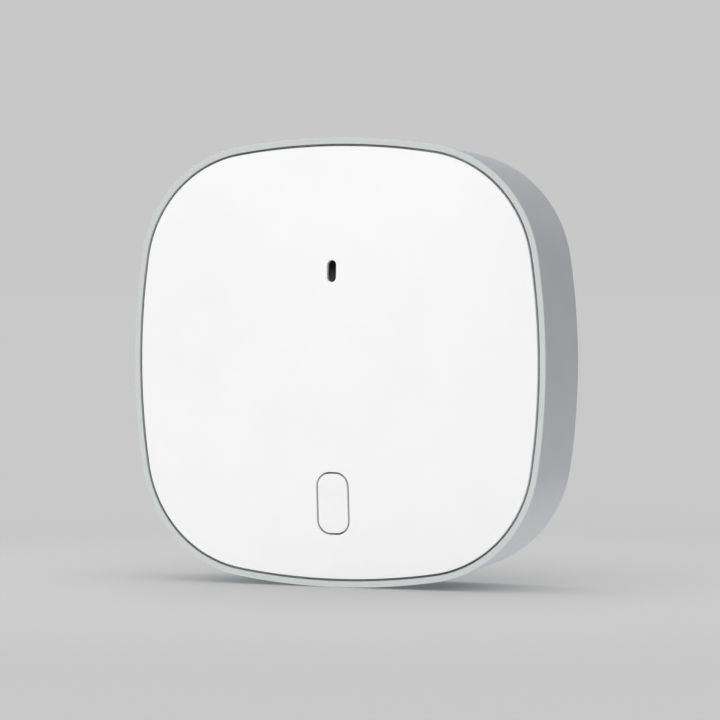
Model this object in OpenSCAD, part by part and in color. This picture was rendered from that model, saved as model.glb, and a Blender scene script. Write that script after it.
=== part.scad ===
// Garage door controller: a palm-sized hub with a domed front plate, a light slot and a push button.
// Millimetres. Each piece is drawn lying on the wall face, with the front up, and upright() stands it
// on its lower edge: +Z up, front towards -Y, origin under the middle of the body.

/* [Body] */
// Width and height of the body
body_size = 80; // [78:0.5:90]
// Depth from the wall face to the lip
body_depth = 20.2; // [19.8:0.1:24]
// Radius of the bowed sides, seen from the front
side_r = 125.2; // [110:0.1:150]
// Radius of the corners, seen from the front
corner_r = 23.2; // [21:0.1:25]
// How far the wall leans in from the lip to the wall face
back_inset = 1.2; // [0.6:0.1:1.8]
// Rounding of the back edge
back_edge_r = 1.2; // [0.6:0.1:1.3]
// Rounding of the lip's outer edge
lip_edge_r = 0.2; // [0.15:0.05:0.5]
// Width of the lip that frames the plate
lip_w = 1.1; // [0.9:0.05:1.5]
// Thickness of the side wall
wall = 2.2; // [2:0.1:2.6]
// Thickness of the back wall
back_wall = 2; // [1.6:0.1:2.4]

/* [Front plate] */
// Gap between the lip and the plate
plate_gap = 0.4; // [0.2:0.05:0.5]
// Height of the plate's crown over the lip
crown = 1.9; // [1.4:0.1:2.4]
// Thickness of the plate
plate_t = 1.9; // [1.6:0.1:2.2]
// Thickness of the flat rim under the plate's edge
rim_t = 0.9; // [0.7:0.1:1.2]
// How far the plate's back stands off the seat of its rim
plate_relief = 0.1; // [0.05:0.05:0.2]
// Depth of the skirt that centres the plate in the case
skirt_h = 2.6; // [1.6:0.1:3.4]
// Thickness of the skirt
skirt_t = 1.2; // [0.9:0.1:1.5]
// Gap between the skirt and the case wall
skirt_gap = 0.2; // [0.1:0.05:0.4]

/* [Light slot] */
// Distance of the slot's middle from the upper edge of the body
slot_edge = 23.7; // [22:0.1:27]
// Width of the slot
slot_w = 1.7; // [1.4:0.1:2.4]
// Length of the slot
slot_l = 3.9; // [3.2:0.1:5]
// Depth of the lens behind the plate's face
lens_recess = 1; // [0.4:0.1:1.2]
// Gap between the lens and the slot
lens_gap = 0.1; // [0.05:0.05:0.2]
// Width of the collar and the lens flange round the slot
collar_w = 1.4; // [1:0.1:1.8]
// How far the collar reaches below the plate's rim
collar_drop = 0.3; // [0.2:0.1:0.8]
// Thickness of the lens flange
lens_flange_t = 1; // [0.6:0.1:1.4]
// Gap between the lens and the lamp
lamp_gap = 0.4; // [0.2:0.1:0.8]

/* [Button] */
// Distance of the button's middle from the lower edge of the body
button_edge = 15; // [14:0.1:17]
// Width of the button
button_w = 5.7; // [5:0.1:7]
// Length of the button
button_l = 10.6; // [9:0.1:11]
// Radius of the button's corners
button_corner_r = 2.25; // [1.5:0.05:2.4]
// Gap round the button
button_gap = 0.3; // [0.15:0.05:0.35]
// Travel of the button
button_travel = 0.4; // [0.2:0.05:0.5]
// Width of the flange that keeps the button in the plate
button_flange = 0.9; // [0.7:0.1:1.2]
// Thickness of that flange
button_flange_t = 0.8; // [0.6:0.1:1]
// Gap between the flange and the sleeve at rest
button_seat_gap = 0.1; // [0.05:0.05:0.2]
// Radius of the button's stem
button_stem_r = 1.5; // [1.2:0.1:1.6]
// Wall of the sleeve that guides the button
sleeve_t = 1.4; // [1.2:0.1:1.8]
// How far the sleeve reaches below the plate's rim
sleeve_drop = 0.9; // [0.6:0.1:1.2]

/* [Push switch] */
// Width of the switch
switch_size = 6; // [5:0.1:6.5]
// Height of the switch over the board
switch_h = 4.3; // [4:0.1:5.2]
// Height of the switch's base
switch_base_h = 2; // [1.8:0.1:2.4]
// Room left under the pressed plunger for the flattened dome
switch_reserve = 0.325; // [0.25:0.025:0.4]
// Radius of the plunger
switch_stem_r = 1.7; // [1.2:0.1:1.8]
// Width of the shoulder that keeps the plunger in
switch_shoulder = 0.4; // [0.3:0.05:0.5]
// Thickness of the shoulder
switch_shoulder_t = 0.4; // [0.3:0.05:0.5]
// Running gap round the plunger
switch_gap = 0.15; // [0.1:0.05:0.2]
// Thickness of the metal cover
switch_frame_t = 0.3; // [0.2:0.05:0.4]
// Thickness of the snap dome
dome_t = 0.12; // [0.08:0.02:0.16]

/* [Board] */
// Thickness of the circuit board
board_t = 1.6; // [1:0.1:1.8]
// Gap between the board's edge and the case wall
board_gap = 0.9; // [0.5:0.1:1.5]
// Gap between the keyhole pockets and the board
board_clear = 1; // [0.6:0.1:1.4]
// Distance of the network radio's middle from the upper edge of the body
network_edge = 18; // [17:0.5:20]
// Distance of the network radio to the left of the middle
network_x = 11.5; // [10.5:0.5:13]
// Width of the network radio
network_w = 13.2; // [11:0.1:14]
// Length of the network radio
network_l = 16.6; // [14:0.1:17]
// Thickness of the network radio's board
network_t = 0.8; // [0.6:0.1:1.2]
// Height of the shield can
shield_h = 1.6; // [1.4:0.1:2.4]
// Sheet thickness of the shield can
shield_t = 0.2; // [0.1:0.05:0.3]
// Length of the bare antenna end of the network radio
network_bare = 4.8; // [4:0.1:6]
// Margin of board round the shield can
shield_margin = 0.5; // [0.3:0.1:0.8]
// Pitch of the solder pads on the network radio's edges
network_pitch = 1.5; // [1:0.1:2]
// Side of the square radio chips
chip_size = 5; // [4:0.1:6]
// Thickness of the square radio chips
chip_t = 0.9; // [0.7:0.05:1.1]

/* [Opener antenna] */
// Mean radius of the antenna's turns
antenna_r = 2.6; // [2:0.1:3]
// Radius of the antenna's wire
antenna_wire_r = 0.4; // [0.3:0.05:0.5]
// Number of turns
antenna_turns = 9; // [5:1:10]
// Distance between the turns
antenna_pitch = 2.4; // [2:0.1:2.6]
// Distance of the antenna's middle from the right edge of the body
antenna_edge = 18; // [17:0.5:20]
// Gap between the turns and the board
antenna_lift = 0.6; // [0.4:0.1:1]

/* [Power inlet] */
// Width of the inlet's shell
socket_w = 8.94; // [8:0.02:9.4]
// Height of the inlet's shell
socket_h = 3.26; // [3:0.02:3.6]
// Length of the inlet's shell
socket_l = 7.35; // [6.5:0.05:8]
// Sheet thickness of the shell
socket_t = 0.3; // [0.2:0.05:0.35]
// Gap between the shell and the case
socket_gap = 0.25; // [0.15:0.05:0.4]
// Depth of the shell's mouth behind the case wall
socket_sink = 0.9; // [0.5:0.1:1.4]
// Width of the contact tongue
tongue_w = 6.7; // [6:0.1:7]
// Thickness of the contact tongue
tongue_t = 0.7; // [0.6:0.05:0.8]
// Depth of the tongue's tip behind the mouth
tongue_sink = 0.8; // [0.5:0.1:1.2]
// Depth of the block that carries the tongue
tongue_root = 1.6; // [1.2:0.1:2]
// Gap between that block and the shell
tongue_gap = 0.05; // [0.02:0.01:0.1]

/* [Sounder] */
// Height of the sounder over the middle of the body
sounder_y = -6; // [-7:0.5:-4]
// Radius of the sounder's case
sounder_r = 12; // [10:0.1:12.5]
// Height of the sounder's case
sounder_h = 5; // [4.5:0.1:5.4]
// Wall of the sounder's case
sounder_wall = 0.9; // [0.7:0.1:1.1]
// Height of the chamber under the disc
chamber_h = 1.6; // [1.2:0.1:2]
// Width of the ledge that carries the disc
disc_ledge = 0.9; // [0.6:0.1:1.2]
// Thickness of the metal disc
disc_t = 0.3; // [0.2:0.05:0.4]
// Gap round the metal disc
disc_gap = 0.1; // [0.05:0.05:0.2]
// Radius of the ceramic layer on the disc
ceramic_r = 7.5; // [6:0.1:8]
// Thickness of the ceramic layer
ceramic_t = 0.25; // [0.2:0.05:0.4]
// Radius of the sound hole in the sounder's face
sound_hole_r = 2; // [1.5:0.1:3]
// Radius of each sound port in the back wall
port_r = 0.8; // [0.5:0.05:1]
// Radius of the ring of sound ports
port_ring_r = 3.6; // [3:0.1:4.2]
// Number of ports in that ring
port_count = 6; // [4:1:8]
// Gap round the sounder in its well
well_gap = 0.3; // [0.2:0.05:0.5]
// Wall of the well
well_t = 1; // [0.8:0.1:1.4]
// Height of the well over the back wall
well_h = 2.6; // [1.5:0.1:3.5]

/* [Fasteners] */
// Distance of the case screws from the corners of the body
post_inset = 9.2; // [8.5:0.1:10]
// Radius of the case posts
post_r = 3.8; // [3.6:0.1:4]
// Thickness of the webs that tie the posts to the wall
web_t = 1.2; // [0.8:0.1:1.6]
// Gap between the webs and the board
web_clear = 1.2; // [0.8:0.1:2]
// Level where the posts meet the plate's bosses
post_top = 12; // [11:0.1:13]
// Radius of the plate's bosses
boss_r = 3; // [2.6:0.1:3.3]
// Radius of the case screws
case_screw_r = 1.2; // [1:0.05:1.4]
// Length of the case screws under the head
case_screw_l = 11; // [9:0.1:11.5]
// Radius of the case screw heads
case_head_r = 2.6; // [2.2:0.05:2.7]
// Height of the case screw heads
case_head_h = 1.8; // [1.4:0.1:2]
// Depth of the screw heads' seat from the wall face
head_seat = 5; // [4:0.1:6]
// Gap round the screw heads
head_gap = 0.3; // [0.2:0.05:0.4]
// Gap round the case screws in their posts
shank_gap = 0.4; // [0.2:0.05:0.5]
// Gap round the screws in the holes that they cut
pilot_gap = 0.05; // [0.02:0.01:0.08]
// Gap between the posts and the board
post_notch_gap = 0.5; // [0.3:0.1:0.8]
// Distance of the two outer board screws from the sides of the body
side_screw_edge = 11; // [10:0.5:12]
// Height of these two over the middle of the body
side_screw_y = -4; // [-6:0.5:0]
// Distance of the upper board screw from the upper edge of the body
top_screw_edge = 10.5; // [10:0.5:12]
// Radius of the bosses that carry the board
board_boss_r = 2.4; // [2.1:0.1:2.8]
// Radius of the board screws
board_screw_r = 0.9; // [0.7:0.05:1.1]
// Length of the board screws under the head
board_screw_l = 5; // [4:0.1:6]
// Radius of the board screw heads
board_head_r = 1.9; // [1.6:0.05:2.2]
// Height of the board screw heads
board_head_h = 1.2; // [0.9:0.1:1.5]
// Gap round the board screws in the board
board_hole_gap = 0.3; // [0.2:0.05:0.4]
// Width of the cross recess in the screw heads
recess_w = 0.6; // [0.4:0.05:0.7]
// Depth of the cross recess
recess_d = 0.7; // [0.4:0.05:0.8]
// Rim of the screw heads round the recess
recess_rim = 0.8; // [0.5:0.05:1]

/* [Wall mount] */
// Distance between the two keyholes
keyhole_spacing = 40; // [38:0.5:41]
// Height of the keyholes' entry over the middle of the body
keyhole_y = 10; // [8:0.5:10]
// Radius of the entry, which passes the screw's head
keyhole_head_r = 4.25; // [3.5:0.05:4.3]
// Half the width of the slot, which holds the screw's shank
keyhole_shank_r = 2.2; // [1.6:0.05:2.3]
// How far the screw slides up from the entry
keyhole_run = 7; // [5:0.5:7]
// Depth of the pocket behind the back wall
keyhole_depth = 3.8; // [3:0.1:4]
// Wall of the pocket
pocket_wall = 1.2; // [0.8:0.1:1.2]
// Gap round the screw's head in the pocket
pocket_gap = 0.35; // [0.2:0.05:0.4]

/* [Hidden] */
$fn = 96;

// Overlap of solids that are joined or cut, so that no two faces coincide
lap = 0.5;

// Outline: four bowed sides and four corners, arcs that meet on the lines between their centres
half = body_size/2;
side_c = half - side_r;
centre_gap = side_r - corner_r;
corner_c = (side_c + sqrt(2*centre_gap*centre_gap - side_c*side_c))/2;
join_a = atan2(corner_c, corner_c - side_c);
far_long = 2*corner_c - side_c;
far_short = 2*corner_c;

// Levels from the wall face
shelf = body_depth - plate_t;
pocket_roof = back_wall + keyhole_depth + pocket_wall;
board_back = pocket_roof + board_clear;
board_front = board_back + board_t;
switch_top = board_front + switch_h;
switch_well = switch_gap/2 + switch_shoulder_t + button_travel + switch_reserve;
skirt_end = shelf - skirt_h;
collar_end = shelf - collar_drop;
sleeve_end = shelf - sleeve_drop;
flange_front = sleeve_end - button_seat_gap;
flange_back = flange_front - button_flange_t;
total_depth = body_depth + crown;

// Places seen from the front, from the edges of the outline
slot_y = half - slot_edge;
button_y = button_edge - half;
network_y = half - network_edge;
antenna_x = half - antenna_edge;
post_at = corner_c + (corner_r - post_inset)/sqrt(2);
side_screw_x = half - side_screw_edge;
board_screw_at = [[side_screw_x, side_screw_y], [-side_screw_x, side_screw_y], [0, half - top_screw_edge]];

// Offsets from the outline
plate_inset = lip_w + plate_gap;
skirt_out = back_inset*(1 - skirt_end/body_depth) + wall + skirt_gap;
skirt_in = skirt_out + skirt_t;
board_inset = back_inset*(1 - board_back/body_depth) + wall + board_gap;
plate_half = half - plate_inset;

// Places on the board
opener_radio_at = [9, 3];
crystal_at = [9, -3.5];
memory_at = [-17, 1];
regulator_at = [-13, -26];
inductor_at = [-15, -15.5];
bulk_at = [[10, -15], [17.5, -15]];
chip_rows = [[4, -10], [-21, -7.5], [4, 9]];

// Small parts of standard sizes
chip_block = [1.6, 0.8, 0.8];
chip_row_pitch = 2.2;
chip_row_count = 5;
crystal_size = [3.2, 2.5, 0.55];
crystal_lid = [2.8, 2.1, 0.25];
memory_size = [4.9, 3.9, 1.5];
memory_lead = [0.4, 1, 0.2];
memory_pitch = 1.27;
memory_leads = 4;
regulator_size = [6.5, 3.5, 1.6];
regulator_tab = [3, 1.8, 0.3];
regulator_lead = [0.7, 1.8, 0.3];
regulator_pitch = 2.3;
inductor_size = 6;
inductor_base = 0.8;
inductor_h = 3;
inductor_core_r = 2.7;
bulk_r = 3.15;
bulk_h = 5.4;
bulk_base = [6.6, 6.6, 1];
bulk_groove = 0.2;
lamp_size = [3.5, 2.8, 1.9];
lamp_cup_r = 1.2;
lamp_cup_d = 0.8;
mark_r = 0.35;
mark_d = 0.15;
mark_inset = 0.75;
pad_r = 0.3;

// Steps of the curves that are drawn point by point
arc_steps = 5;
side_steps = 6;
corner_steps = 8;
dome_steps = 7;
dome_reach = 1.04;
antenna_sides = 6;
antenna_steps = 12;

function lean(w) = -back_inset*(1 - w/body_depth);
function arc(centre, r, from, to, steps) =
  [for (i = [0:steps]) centre + r*[cos(from + (to - from)*i/steps), sin(from + (to - from)*i/steps)]];
function turn(p, a) = [p[0]*cos(a) - p[1]*sin(a), p[0]*sin(a) + p[1]*cos(a)];
function all_but_last(list) = [for (i = [0:len(list) - 2]) list[i]];
function quarter_points(inset) = concat(
  all_but_last(arc([side_c, 0], side_r - inset, -join_a, join_a, side_steps)),
  all_but_last(arc([corner_c, corner_c], corner_r - inset, join_a, 90 - join_a, corner_steps)));
function outline_points(inset) = [for (q = [0:3]) for (p = quarter_points(inset)) turn(p, 90*q)];

// Height of the plate's face over the lip, where s is the distance from the middle as a share of the edge's
function dome_h(s) = crown*(1 - s*s);
function face_level(y) = body_depth + dome_h(abs(y)/plate_half);

module upright() {
  translate([0, total_depth/2, half]) rotate([90, 0, 0]) children();
}

module four_ways() {
  for (q = [0:3]) rotate(90*q) children();
}

module four_posts() {
  for (x = [-post_at, post_at], y = [-post_at, post_at]) translate([x, y, 0]) children();
}

module side_sector() {
  far_edge = [[far_long, -far_short], [far_long, far_short]];
  polygon(concat([[0, 0], [corner_c, -corner_c]], far_edge, [[corner_c, corner_c]]));
}

module corner_sector() {
  polygon([[corner_c, corner_c], [far_long, far_short], [far_short, far_long]]);
}

// The body's outline, drawn in by inset, with a middle that laps over the lines where the arcs meet
module outline(inset) {
  join = [corner_c, corner_c] + (corner_r - inset)*[cos(join_a), sin(join_a)];
  four_ways() {
    square([2*(join[0] - lap), 2*join[1]], center = true);
    intersection() {
      translate([side_c, 0]) circle(r = side_r - inset);
      side_sector();
    }
    intersection() {
      translate([corner_c, corner_c]) circle(r = corner_r - inset);
      corner_sector();
    }
  }
}

// A section carried round the outline: x is the offset outwards, y the level
module round_outline() {
  reach = 4*body_depth;
  four_ways() {
    intersection() {
      translate([side_c, 0, 0]) rotate_extrude() translate([side_r, 0]) children();
      linear_extrude(reach, center = true) side_sector();
    }
    intersection() {
      translate([corner_c, corner_c, 0]) rotate_extrude() translate([corner_r, 0]) children();
      linear_extrude(reach, center = true) corner_sector();
    }
  }
}

// A slot with round ends, l long along y
module slot(w, l) {
  for (y = [-1, 1]) translate([0, y*(l - w)/2]) circle(r = w/2);
  square([w, l - w], center = true);
}

module rounded_rectangle(w, l, r) {
  square([w, l - 2*r], center = true);
  square([w - 2*r, l], center = true);
  for (x = [-1, 1], y = [-1, 1]) translate([x*(w/2 - r), y*(l/2 - r)]) circle(r = r);
}

module block(size) {
  translate([-size[0]/2, -size[1]/2, 0]) cube(size);
}

// A shell of even thickness under the plate's domed face, a little wider than the plate
module dome_shell(t) {
  edge = outline_points(plate_inset);
  n = len(edge);
  under = n*dome_steps + 1;
  shares = [for (k = [0:dome_steps - 1]) dome_reach*(1 - k/dome_steps)];
  function layer(drop) = concat(
    [for (s = shares) for (p = edge) [s*p[0], s*p[1], body_depth + dome_h(s) - drop]],
    [[0, 0, body_depth + crown - drop]]);
  face = [
    for (k = [0:dome_steps - 2], i = [0:n - 1])
      let (a = k*n + i, b = k*n + (i + 1)%n)
        each [[a, b + n, b], [a, a + n, b + n]]
  ];
  cap = [for (i = [0:n - 1]) let (a = (dome_steps - 1)*n) [a + i, n*dome_steps, a + (i + 1)%n]];
  front = concat(face, cap);
  back = [for (f = front) [f[2] + under, f[1] + under, f[0] + under]];
  edge_band = [for (i = [0:n - 1]) let (j = (i + 1)%n) each [[i + under, i, j], [i + under, j, j + under]]];
  polyhedron(concat(layer(0), layer(t)), concat(front, back, edge_band));
}

// A screw with its head's seat at level 0 and its shank upwards
module screw(r, l, head_r, head_h) {
  difference() {
    union() {
      translate([0, 0, -head_h]) cylinder(r = head_r, h = head_h);
      translate([0, 0, -lap]) cylinder(r = r, h = l + lap);
    }
    for (a = [0, 90]) rotate(a) translate([0, 0, -head_h]) cross_recess(head_r);
  }
}

module cross_recess(head_r) {
  cube([2*(head_r - recess_rim), recess_w, 2*recess_d], center = true);
}

// Case

module wall_section() {
  slope = back_inset/body_depth;
  lean_a = atan(slope);
  back_x = lean(back_edge_r) - back_edge_r/cos(lean_a);
  front_x = -lip_edge_r;
  polygon(concat(
    [[lean(0) - wall, 0]],
    arc([back_x, back_edge_r], back_edge_r, -90, -lean_a, arc_steps),
    arc([front_x, body_depth - lip_edge_r], lip_edge_r, 0, 90, arc_steps),
    [[-lip_w, body_depth], [-lip_w, shelf], [lean(shelf) - wall, shelf]]));
}

module keyhole_places() {
  for (x = [-1, 1]) translate([x*keyhole_spacing/2, keyhole_y, 0]) children();
}

module keyhole_run_shape(r) {
  translate([0, keyhole_run/2]) slot(2*r, keyhole_run + 2*r);
}

module keyhole_pockets() {
  pocket_r = keyhole_head_r + pocket_gap + pocket_wall;
  keyhole_places() translate([0, 0, back_wall - lap])
    linear_extrude(pocket_roof - back_wall + lap) keyhole_run_shape(pocket_r);
}

module keyhole_cuts() {
  keyhole_places() {
    translate([0, 0, back_wall]) linear_extrude(keyhole_depth)
      keyhole_run_shape(keyhole_head_r + pocket_gap);
    translate([0, 0, -lap]) cylinder(r = keyhole_head_r, h = back_wall + 2*lap);
    translate([0, 0, -lap]) linear_extrude(back_wall + 2*lap) keyhole_run_shape(keyhole_shank_r);
  }
}

module sound_ports() {
  translate([0, sounder_y, -lap]) {
    cylinder(r = port_r, h = back_wall + 2*lap);
    for (i = [0:port_count - 1]) rotate(360*i/port_count) translate([port_ring_r, 0, 0])
      cylinder(r = port_r, h = back_wall + 2*lap);
  }
}

module sounder_well() {
  inner = sounder_r + well_gap;
  translate([0, sounder_y, back_wall - lap]) difference() {
    cylinder(r = inner + well_t, h = well_h + lap);
    translate([0, 0, -lap]) cylinder(r = inner, h = well_h + 3*lap);
  }
}

// Webs from the posts to the corners of the wall
module post_webs() {
  for (q = [0:3]) rotate(90*q + 45) translate([sqrt(2)*post_at, -web_t/2, back_wall - lap])
    cube([post_inset - wall, web_t, board_back - web_clear - back_wall + lap]);
}

module socket_opening() {
  level = board_front + socket_h/2;
  translate([0, -half - lap, level]) rotate([-90, 0, 0])
    linear_extrude(wall + back_inset + 3*lap)
      rotate(90) slot(socket_h + 2*socket_gap, socket_w + 2*socket_gap);
}

module rear_case() {
  color([0.76, 0.77, 0.78]) upright() difference() {
    union() {
      round_outline() wall_section();
      linear_extrude(back_wall) outline(back_inset + wall - lap);
      four_posts() translate([0, 0, back_wall - lap]) cylinder(r = post_r, h = post_top - back_wall + lap);
      for (p = board_screw_at) translate([p[0], p[1], back_wall - lap])
        cylinder(r = board_boss_r, h = board_back - back_wall + lap);
      post_webs();
      keyhole_pockets();
      sounder_well();
    }
    four_posts() {
      translate([0, 0, -lap]) cylinder(r = case_head_r + head_gap, h = head_seat + lap);
      cylinder(r = case_screw_r + shank_gap, h = post_top + lap);
    }
    for (p = board_screw_at) translate([p[0], p[1], board_back + board_t - board_screw_l - lap])
      cylinder(r = board_screw_r + pilot_gap, h = board_screw_l + lap);
    keyhole_cuts();
    sound_ports();
    socket_opening();
  }
}

// Front plate, button and light pipe

module skirt_section() {
  polygon([[lap, shelf], [lap, shelf + rim_t], [-skirt_in, shelf + rim_t], [-skirt_in, skirt_end],
    [-skirt_out, skirt_end], [-skirt_out, shelf]]);
}

module front_plate() {
  sleeve_w = button_w + 2*button_gap;
  sleeve_l = button_l + 2*button_gap;
  sleeve_r = button_corner_r + button_gap;
  color([0.97, 0.97, 0.96]) upright() difference() {
    union() {
      intersection() {
        union() {
          dome_shell(plate_t - plate_relief);
          round_outline() skirt_section();
        }
        linear_extrude(2*total_depth) outline(plate_inset);
      }
      four_posts() translate([0, 0, post_top]) cylinder(r = boss_r, h = shelf + rim_t - post_top);
      translate([0, slot_y, collar_end]) linear_extrude(shelf + plate_t - collar_end)
        slot(slot_w + 2*collar_w, slot_l + 2*collar_w);
      translate([0, button_y, sleeve_end]) linear_extrude(shelf + plate_t - sleeve_end)
        rounded_rectangle(sleeve_w + 2*sleeve_t, sleeve_l + 2*sleeve_t, sleeve_r + sleeve_t);
    }
    four_posts() translate([0, 0, post_top - lap])
      cylinder(r = case_screw_r + pilot_gap, h = case_screw_l + head_seat - post_top + 2*lap);
    translate([0, slot_y, collar_end - lap]) linear_extrude(total_depth) slot(slot_w, slot_l);
    translate([0, button_y, sleeve_end - lap]) linear_extrude(total_depth)
      rounded_rectangle(sleeve_w, sleeve_l, sleeve_r);
  }
}

module button_cap() {
  color([0.96, 0.96, 0.95]) upright() {
    intersection() {
      dome_shell(plate_t + crown);
      translate([0, button_y, sleeve_end]) linear_extrude(total_depth)
        rounded_rectangle(button_w, button_l, button_corner_r);
    }
    translate([0, button_y, flange_back]) linear_extrude(shelf - flange_back)
      rounded_rectangle(button_w, button_l, button_corner_r);
    translate([0, button_y, flange_back]) linear_extrude(button_flange_t)
      rounded_rectangle(button_w + 2*button_flange, button_l + 2*button_flange,
                        button_corner_r + button_flange);
    translate([0, button_y, switch_top]) cylinder(r = button_stem_r, h = flange_back - switch_top + lap);
  }
}

module light_pipe() {
  lens_front = face_level(slot_y) - lens_recess;
  pipe_end = board_front + lamp_size[2] + lamp_gap;
  color([0.1, 0.1, 0.11]) upright() translate([0, slot_y, 0]) {
    translate([0, 0, pipe_end]) linear_extrude(lens_front - pipe_end)
      slot(slot_w - 2*lens_gap, slot_l - 2*lens_gap);
    translate([0, 0, collar_end - lens_flange_t]) linear_extrude(lens_flange_t)
      slot(slot_w + 2*collar_w, slot_l + 2*collar_w);
  }
}

// Board and what stands on it

module main_board() {
  color([0.1, 0.35, 0.2]) upright() difference() {
    translate([0, 0, board_back]) linear_extrude(board_t) outline(board_inset);
    four_posts() translate([0, 0, board_back - lap])
      cylinder(r = post_r + post_notch_gap, h = board_t + 2*lap);
    for (p = board_screw_at) translate([p[0], p[1], board_back - lap])
      cylinder(r = board_screw_r + board_hole_gap, h = board_t + 2*lap);
  }
}

module on_board(at) {
  upright() translate([at[0], at[1], board_front]) children();
}

module network_board() {
  pads = floor(network_l/network_pitch) - 1;
  color([0.12, 0.12, 0.14]) on_board([-network_x, network_y]) difference() {
    block([network_w, network_l, network_t]);
    for (x = [-1, 1], i = [0:pads - 1])
      translate([x*network_w/2, (i - (pads - 1)/2)*network_pitch, -lap])
        cylinder(r = pad_r, h = network_t + 2*lap);
  }
}

module on_network_board() {
  on_board([-network_x, network_y - (network_bare - shield_margin)/2])
    translate([0, 0, network_t]) children();
}

module network_shield() {
  can_w = network_w - 2*pad_r - 2*shield_margin;
  can_l = network_l - network_bare - shield_margin;
  color([0.75, 0.75, 0.74]) on_network_board() difference() {
    block([can_w, can_l, shield_h]);
    translate([0, 0, -lap]) block([can_w - 2*shield_t, can_l - 2*shield_t, shield_h - shield_t + lap]);
  }
}

module square_chip() {
  corner = chip_size/2 - mark_inset;
  difference() {
    block([chip_size, chip_size, chip_t]);
    translate([-corner, corner, chip_t - mark_d]) cylinder(r = mark_r, h = mark_d + lap);
  }
}

module network_chip() {
  color([0.08, 0.08, 0.09]) on_network_board() square_chip();
}

module opener_radio() {
  color([0.08, 0.08, 0.09]) on_board(opener_radio_at) square_chip();
}

module radio_crystal() {
  color([0.8, 0.78, 0.7]) on_board(crystal_at) {
    block(crystal_size);
    block([crystal_lid[0], crystal_lid[1], crystal_size[2] + crystal_lid[2]]);
  }
}

// Least distance between points of a path that lie at least skip steps apart
function least_gap(path, skip) =
  min([for (i = [0:len(path) - 1 - skip], j = [i + skip:len(path) - 1]) norm(path[i] - path[j])]);

// A round wire along a path that stays clear of the Y direction
module wire(path, r, sides) {
  n = len(path);
  tangents = [for (i = [0:n - 1]) let (d = path[min(i + 1, n - 1)] - path[max(i - 1, 0)]) d/norm(d)];
  points = [
    for (i = [0:n - 1])
      let (u = cross(tangents[i], [0, 1, 0]), across = u/norm(u), along = cross(across, tangents[i]))
        for (k = [0:sides - 1])
          path[i] + r*(cos(360*k/sides)*across + sin(360*k/sides)*along)
  ];
  skin = [
    for (i = [0:n - 2], k = [0:sides - 1])
      let (a = i*sides + k, b = i*sides + (k + 1)%sides)
        each [[a, b, b + sides], [a, b + sides, a + sides]]
  ];
  last = (n - 1)*sides;
  ends = [for (k = [1:sides - 2]) each [[0, k + 1, k], [last, last + k, last + k + 1]]];
  polyhedron(points, concat(skin, ends));
}

module opener_antenna() {
  length = antenna_turns*antenna_pitch;
  centre = antenna_r + antenna_wire_r + antenna_lift;
  last = antenna_turns*antenna_steps;
  turns = [
    for (i = [0:last])
      let (a = 360*i/antenna_steps)
        [antenna_r*cos(a), length*i/last - length/2, centre + antenna_r*sin(a)]
  ];
  foot = [[antenna_r, -length/2, 0], [antenna_r, -length/2, centre/2]];
  echo(least_gap_between_turns = least_gap(turns, antenna_steps/2) - 2*antenna_wire_r);
  color([0.72, 0.45, 0.25]) on_board([antenna_x, 0])
    wire(concat(foot, turns), antenna_wire_r, antenna_sides);
}

module memory_chip() {
  lead_reach = memory_size[1]/2 + memory_lead[1];
  color([0.09, 0.09, 0.1]) on_board(memory_at) {
    translate([0, 0, memory_lead[2]/2]) block(memory_size);
    for (i = [0:memory_leads - 1]) translate([(i - (memory_leads - 1)/2)*memory_pitch, 0, 0])
      block([memory_lead[0], 2*lead_reach, memory_lead[2]]);
  }
}

module status_led() {
  color([0.95, 0.93, 0.85]) on_board([0, slot_y]) difference() {
    block(lamp_size);
    translate([0, 0, lamp_size[2] - lamp_cup_d]) cylinder(r = lamp_cup_r, h = lamp_cup_d + lap);
  }
}

module power_regulator() {
  tab_reach = regulator_size[1]/2 + regulator_tab[1];
  lead_reach = regulator_size[1]/2 + regulator_lead[1];
  color([0.1, 0.1, 0.11]) on_board(regulator_at) {
    translate([0, 0, regulator_lead[2]/2]) block(regulator_size);
    translate([-regulator_tab[0]/2, 0, 0]) cube([regulator_tab[0], tab_reach, regulator_tab[2]]);
    for (i = [-1:1]) translate([i*regulator_pitch - regulator_lead[0]/2, -lead_reach, 0])
      cube([regulator_lead[0], lead_reach, regulator_lead[2]]);
  }
}

module power_inductor() {
  color([0.2, 0.2, 0.21]) on_board(inductor_at) {
    block([inductor_size, inductor_size, inductor_base]);
    cylinder(r = inductor_core_r, h = inductor_h);
  }
}

module bulk_capacitors() {
  color([0.7, 0.7, 0.72]) for (p = bulk_at) on_board(p) difference() {
    union() {
      block(bulk_base);
      cylinder(r = bulk_r, h = bulk_h);
    }
    translate([0, 0, bulk_base[2] + bulk_groove]) rotate_extrude() translate([bulk_r, 0])
      circle(r = bulk_groove);
  }
}

module chip_capacitors() {
  color([0.62, 0.5, 0.36]) for (row = chip_rows, i = [0:chip_row_count - 1])
    on_board([row[0] + i*chip_row_pitch, row[1]]) block(chip_block);
}

// Power inlet in the lower wall

module at_socket() {
  level = board_front + socket_h/2;
  mouth = -half - lean(level) + socket_sink;
  upright() translate([0, mouth, level]) rotate([-90, 0, 0]) children();
}

module socket_shell() {
  color([0.78, 0.78, 0.77]) at_socket() difference() {
    linear_extrude(socket_l) rotate(90) slot(socket_h, socket_w);
    translate([0, 0, -lap]) linear_extrude(socket_l - socket_t + lap)
      rotate(90) slot(socket_h - 2*socket_t, socket_w - 2*socket_t);
  }
}

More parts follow.
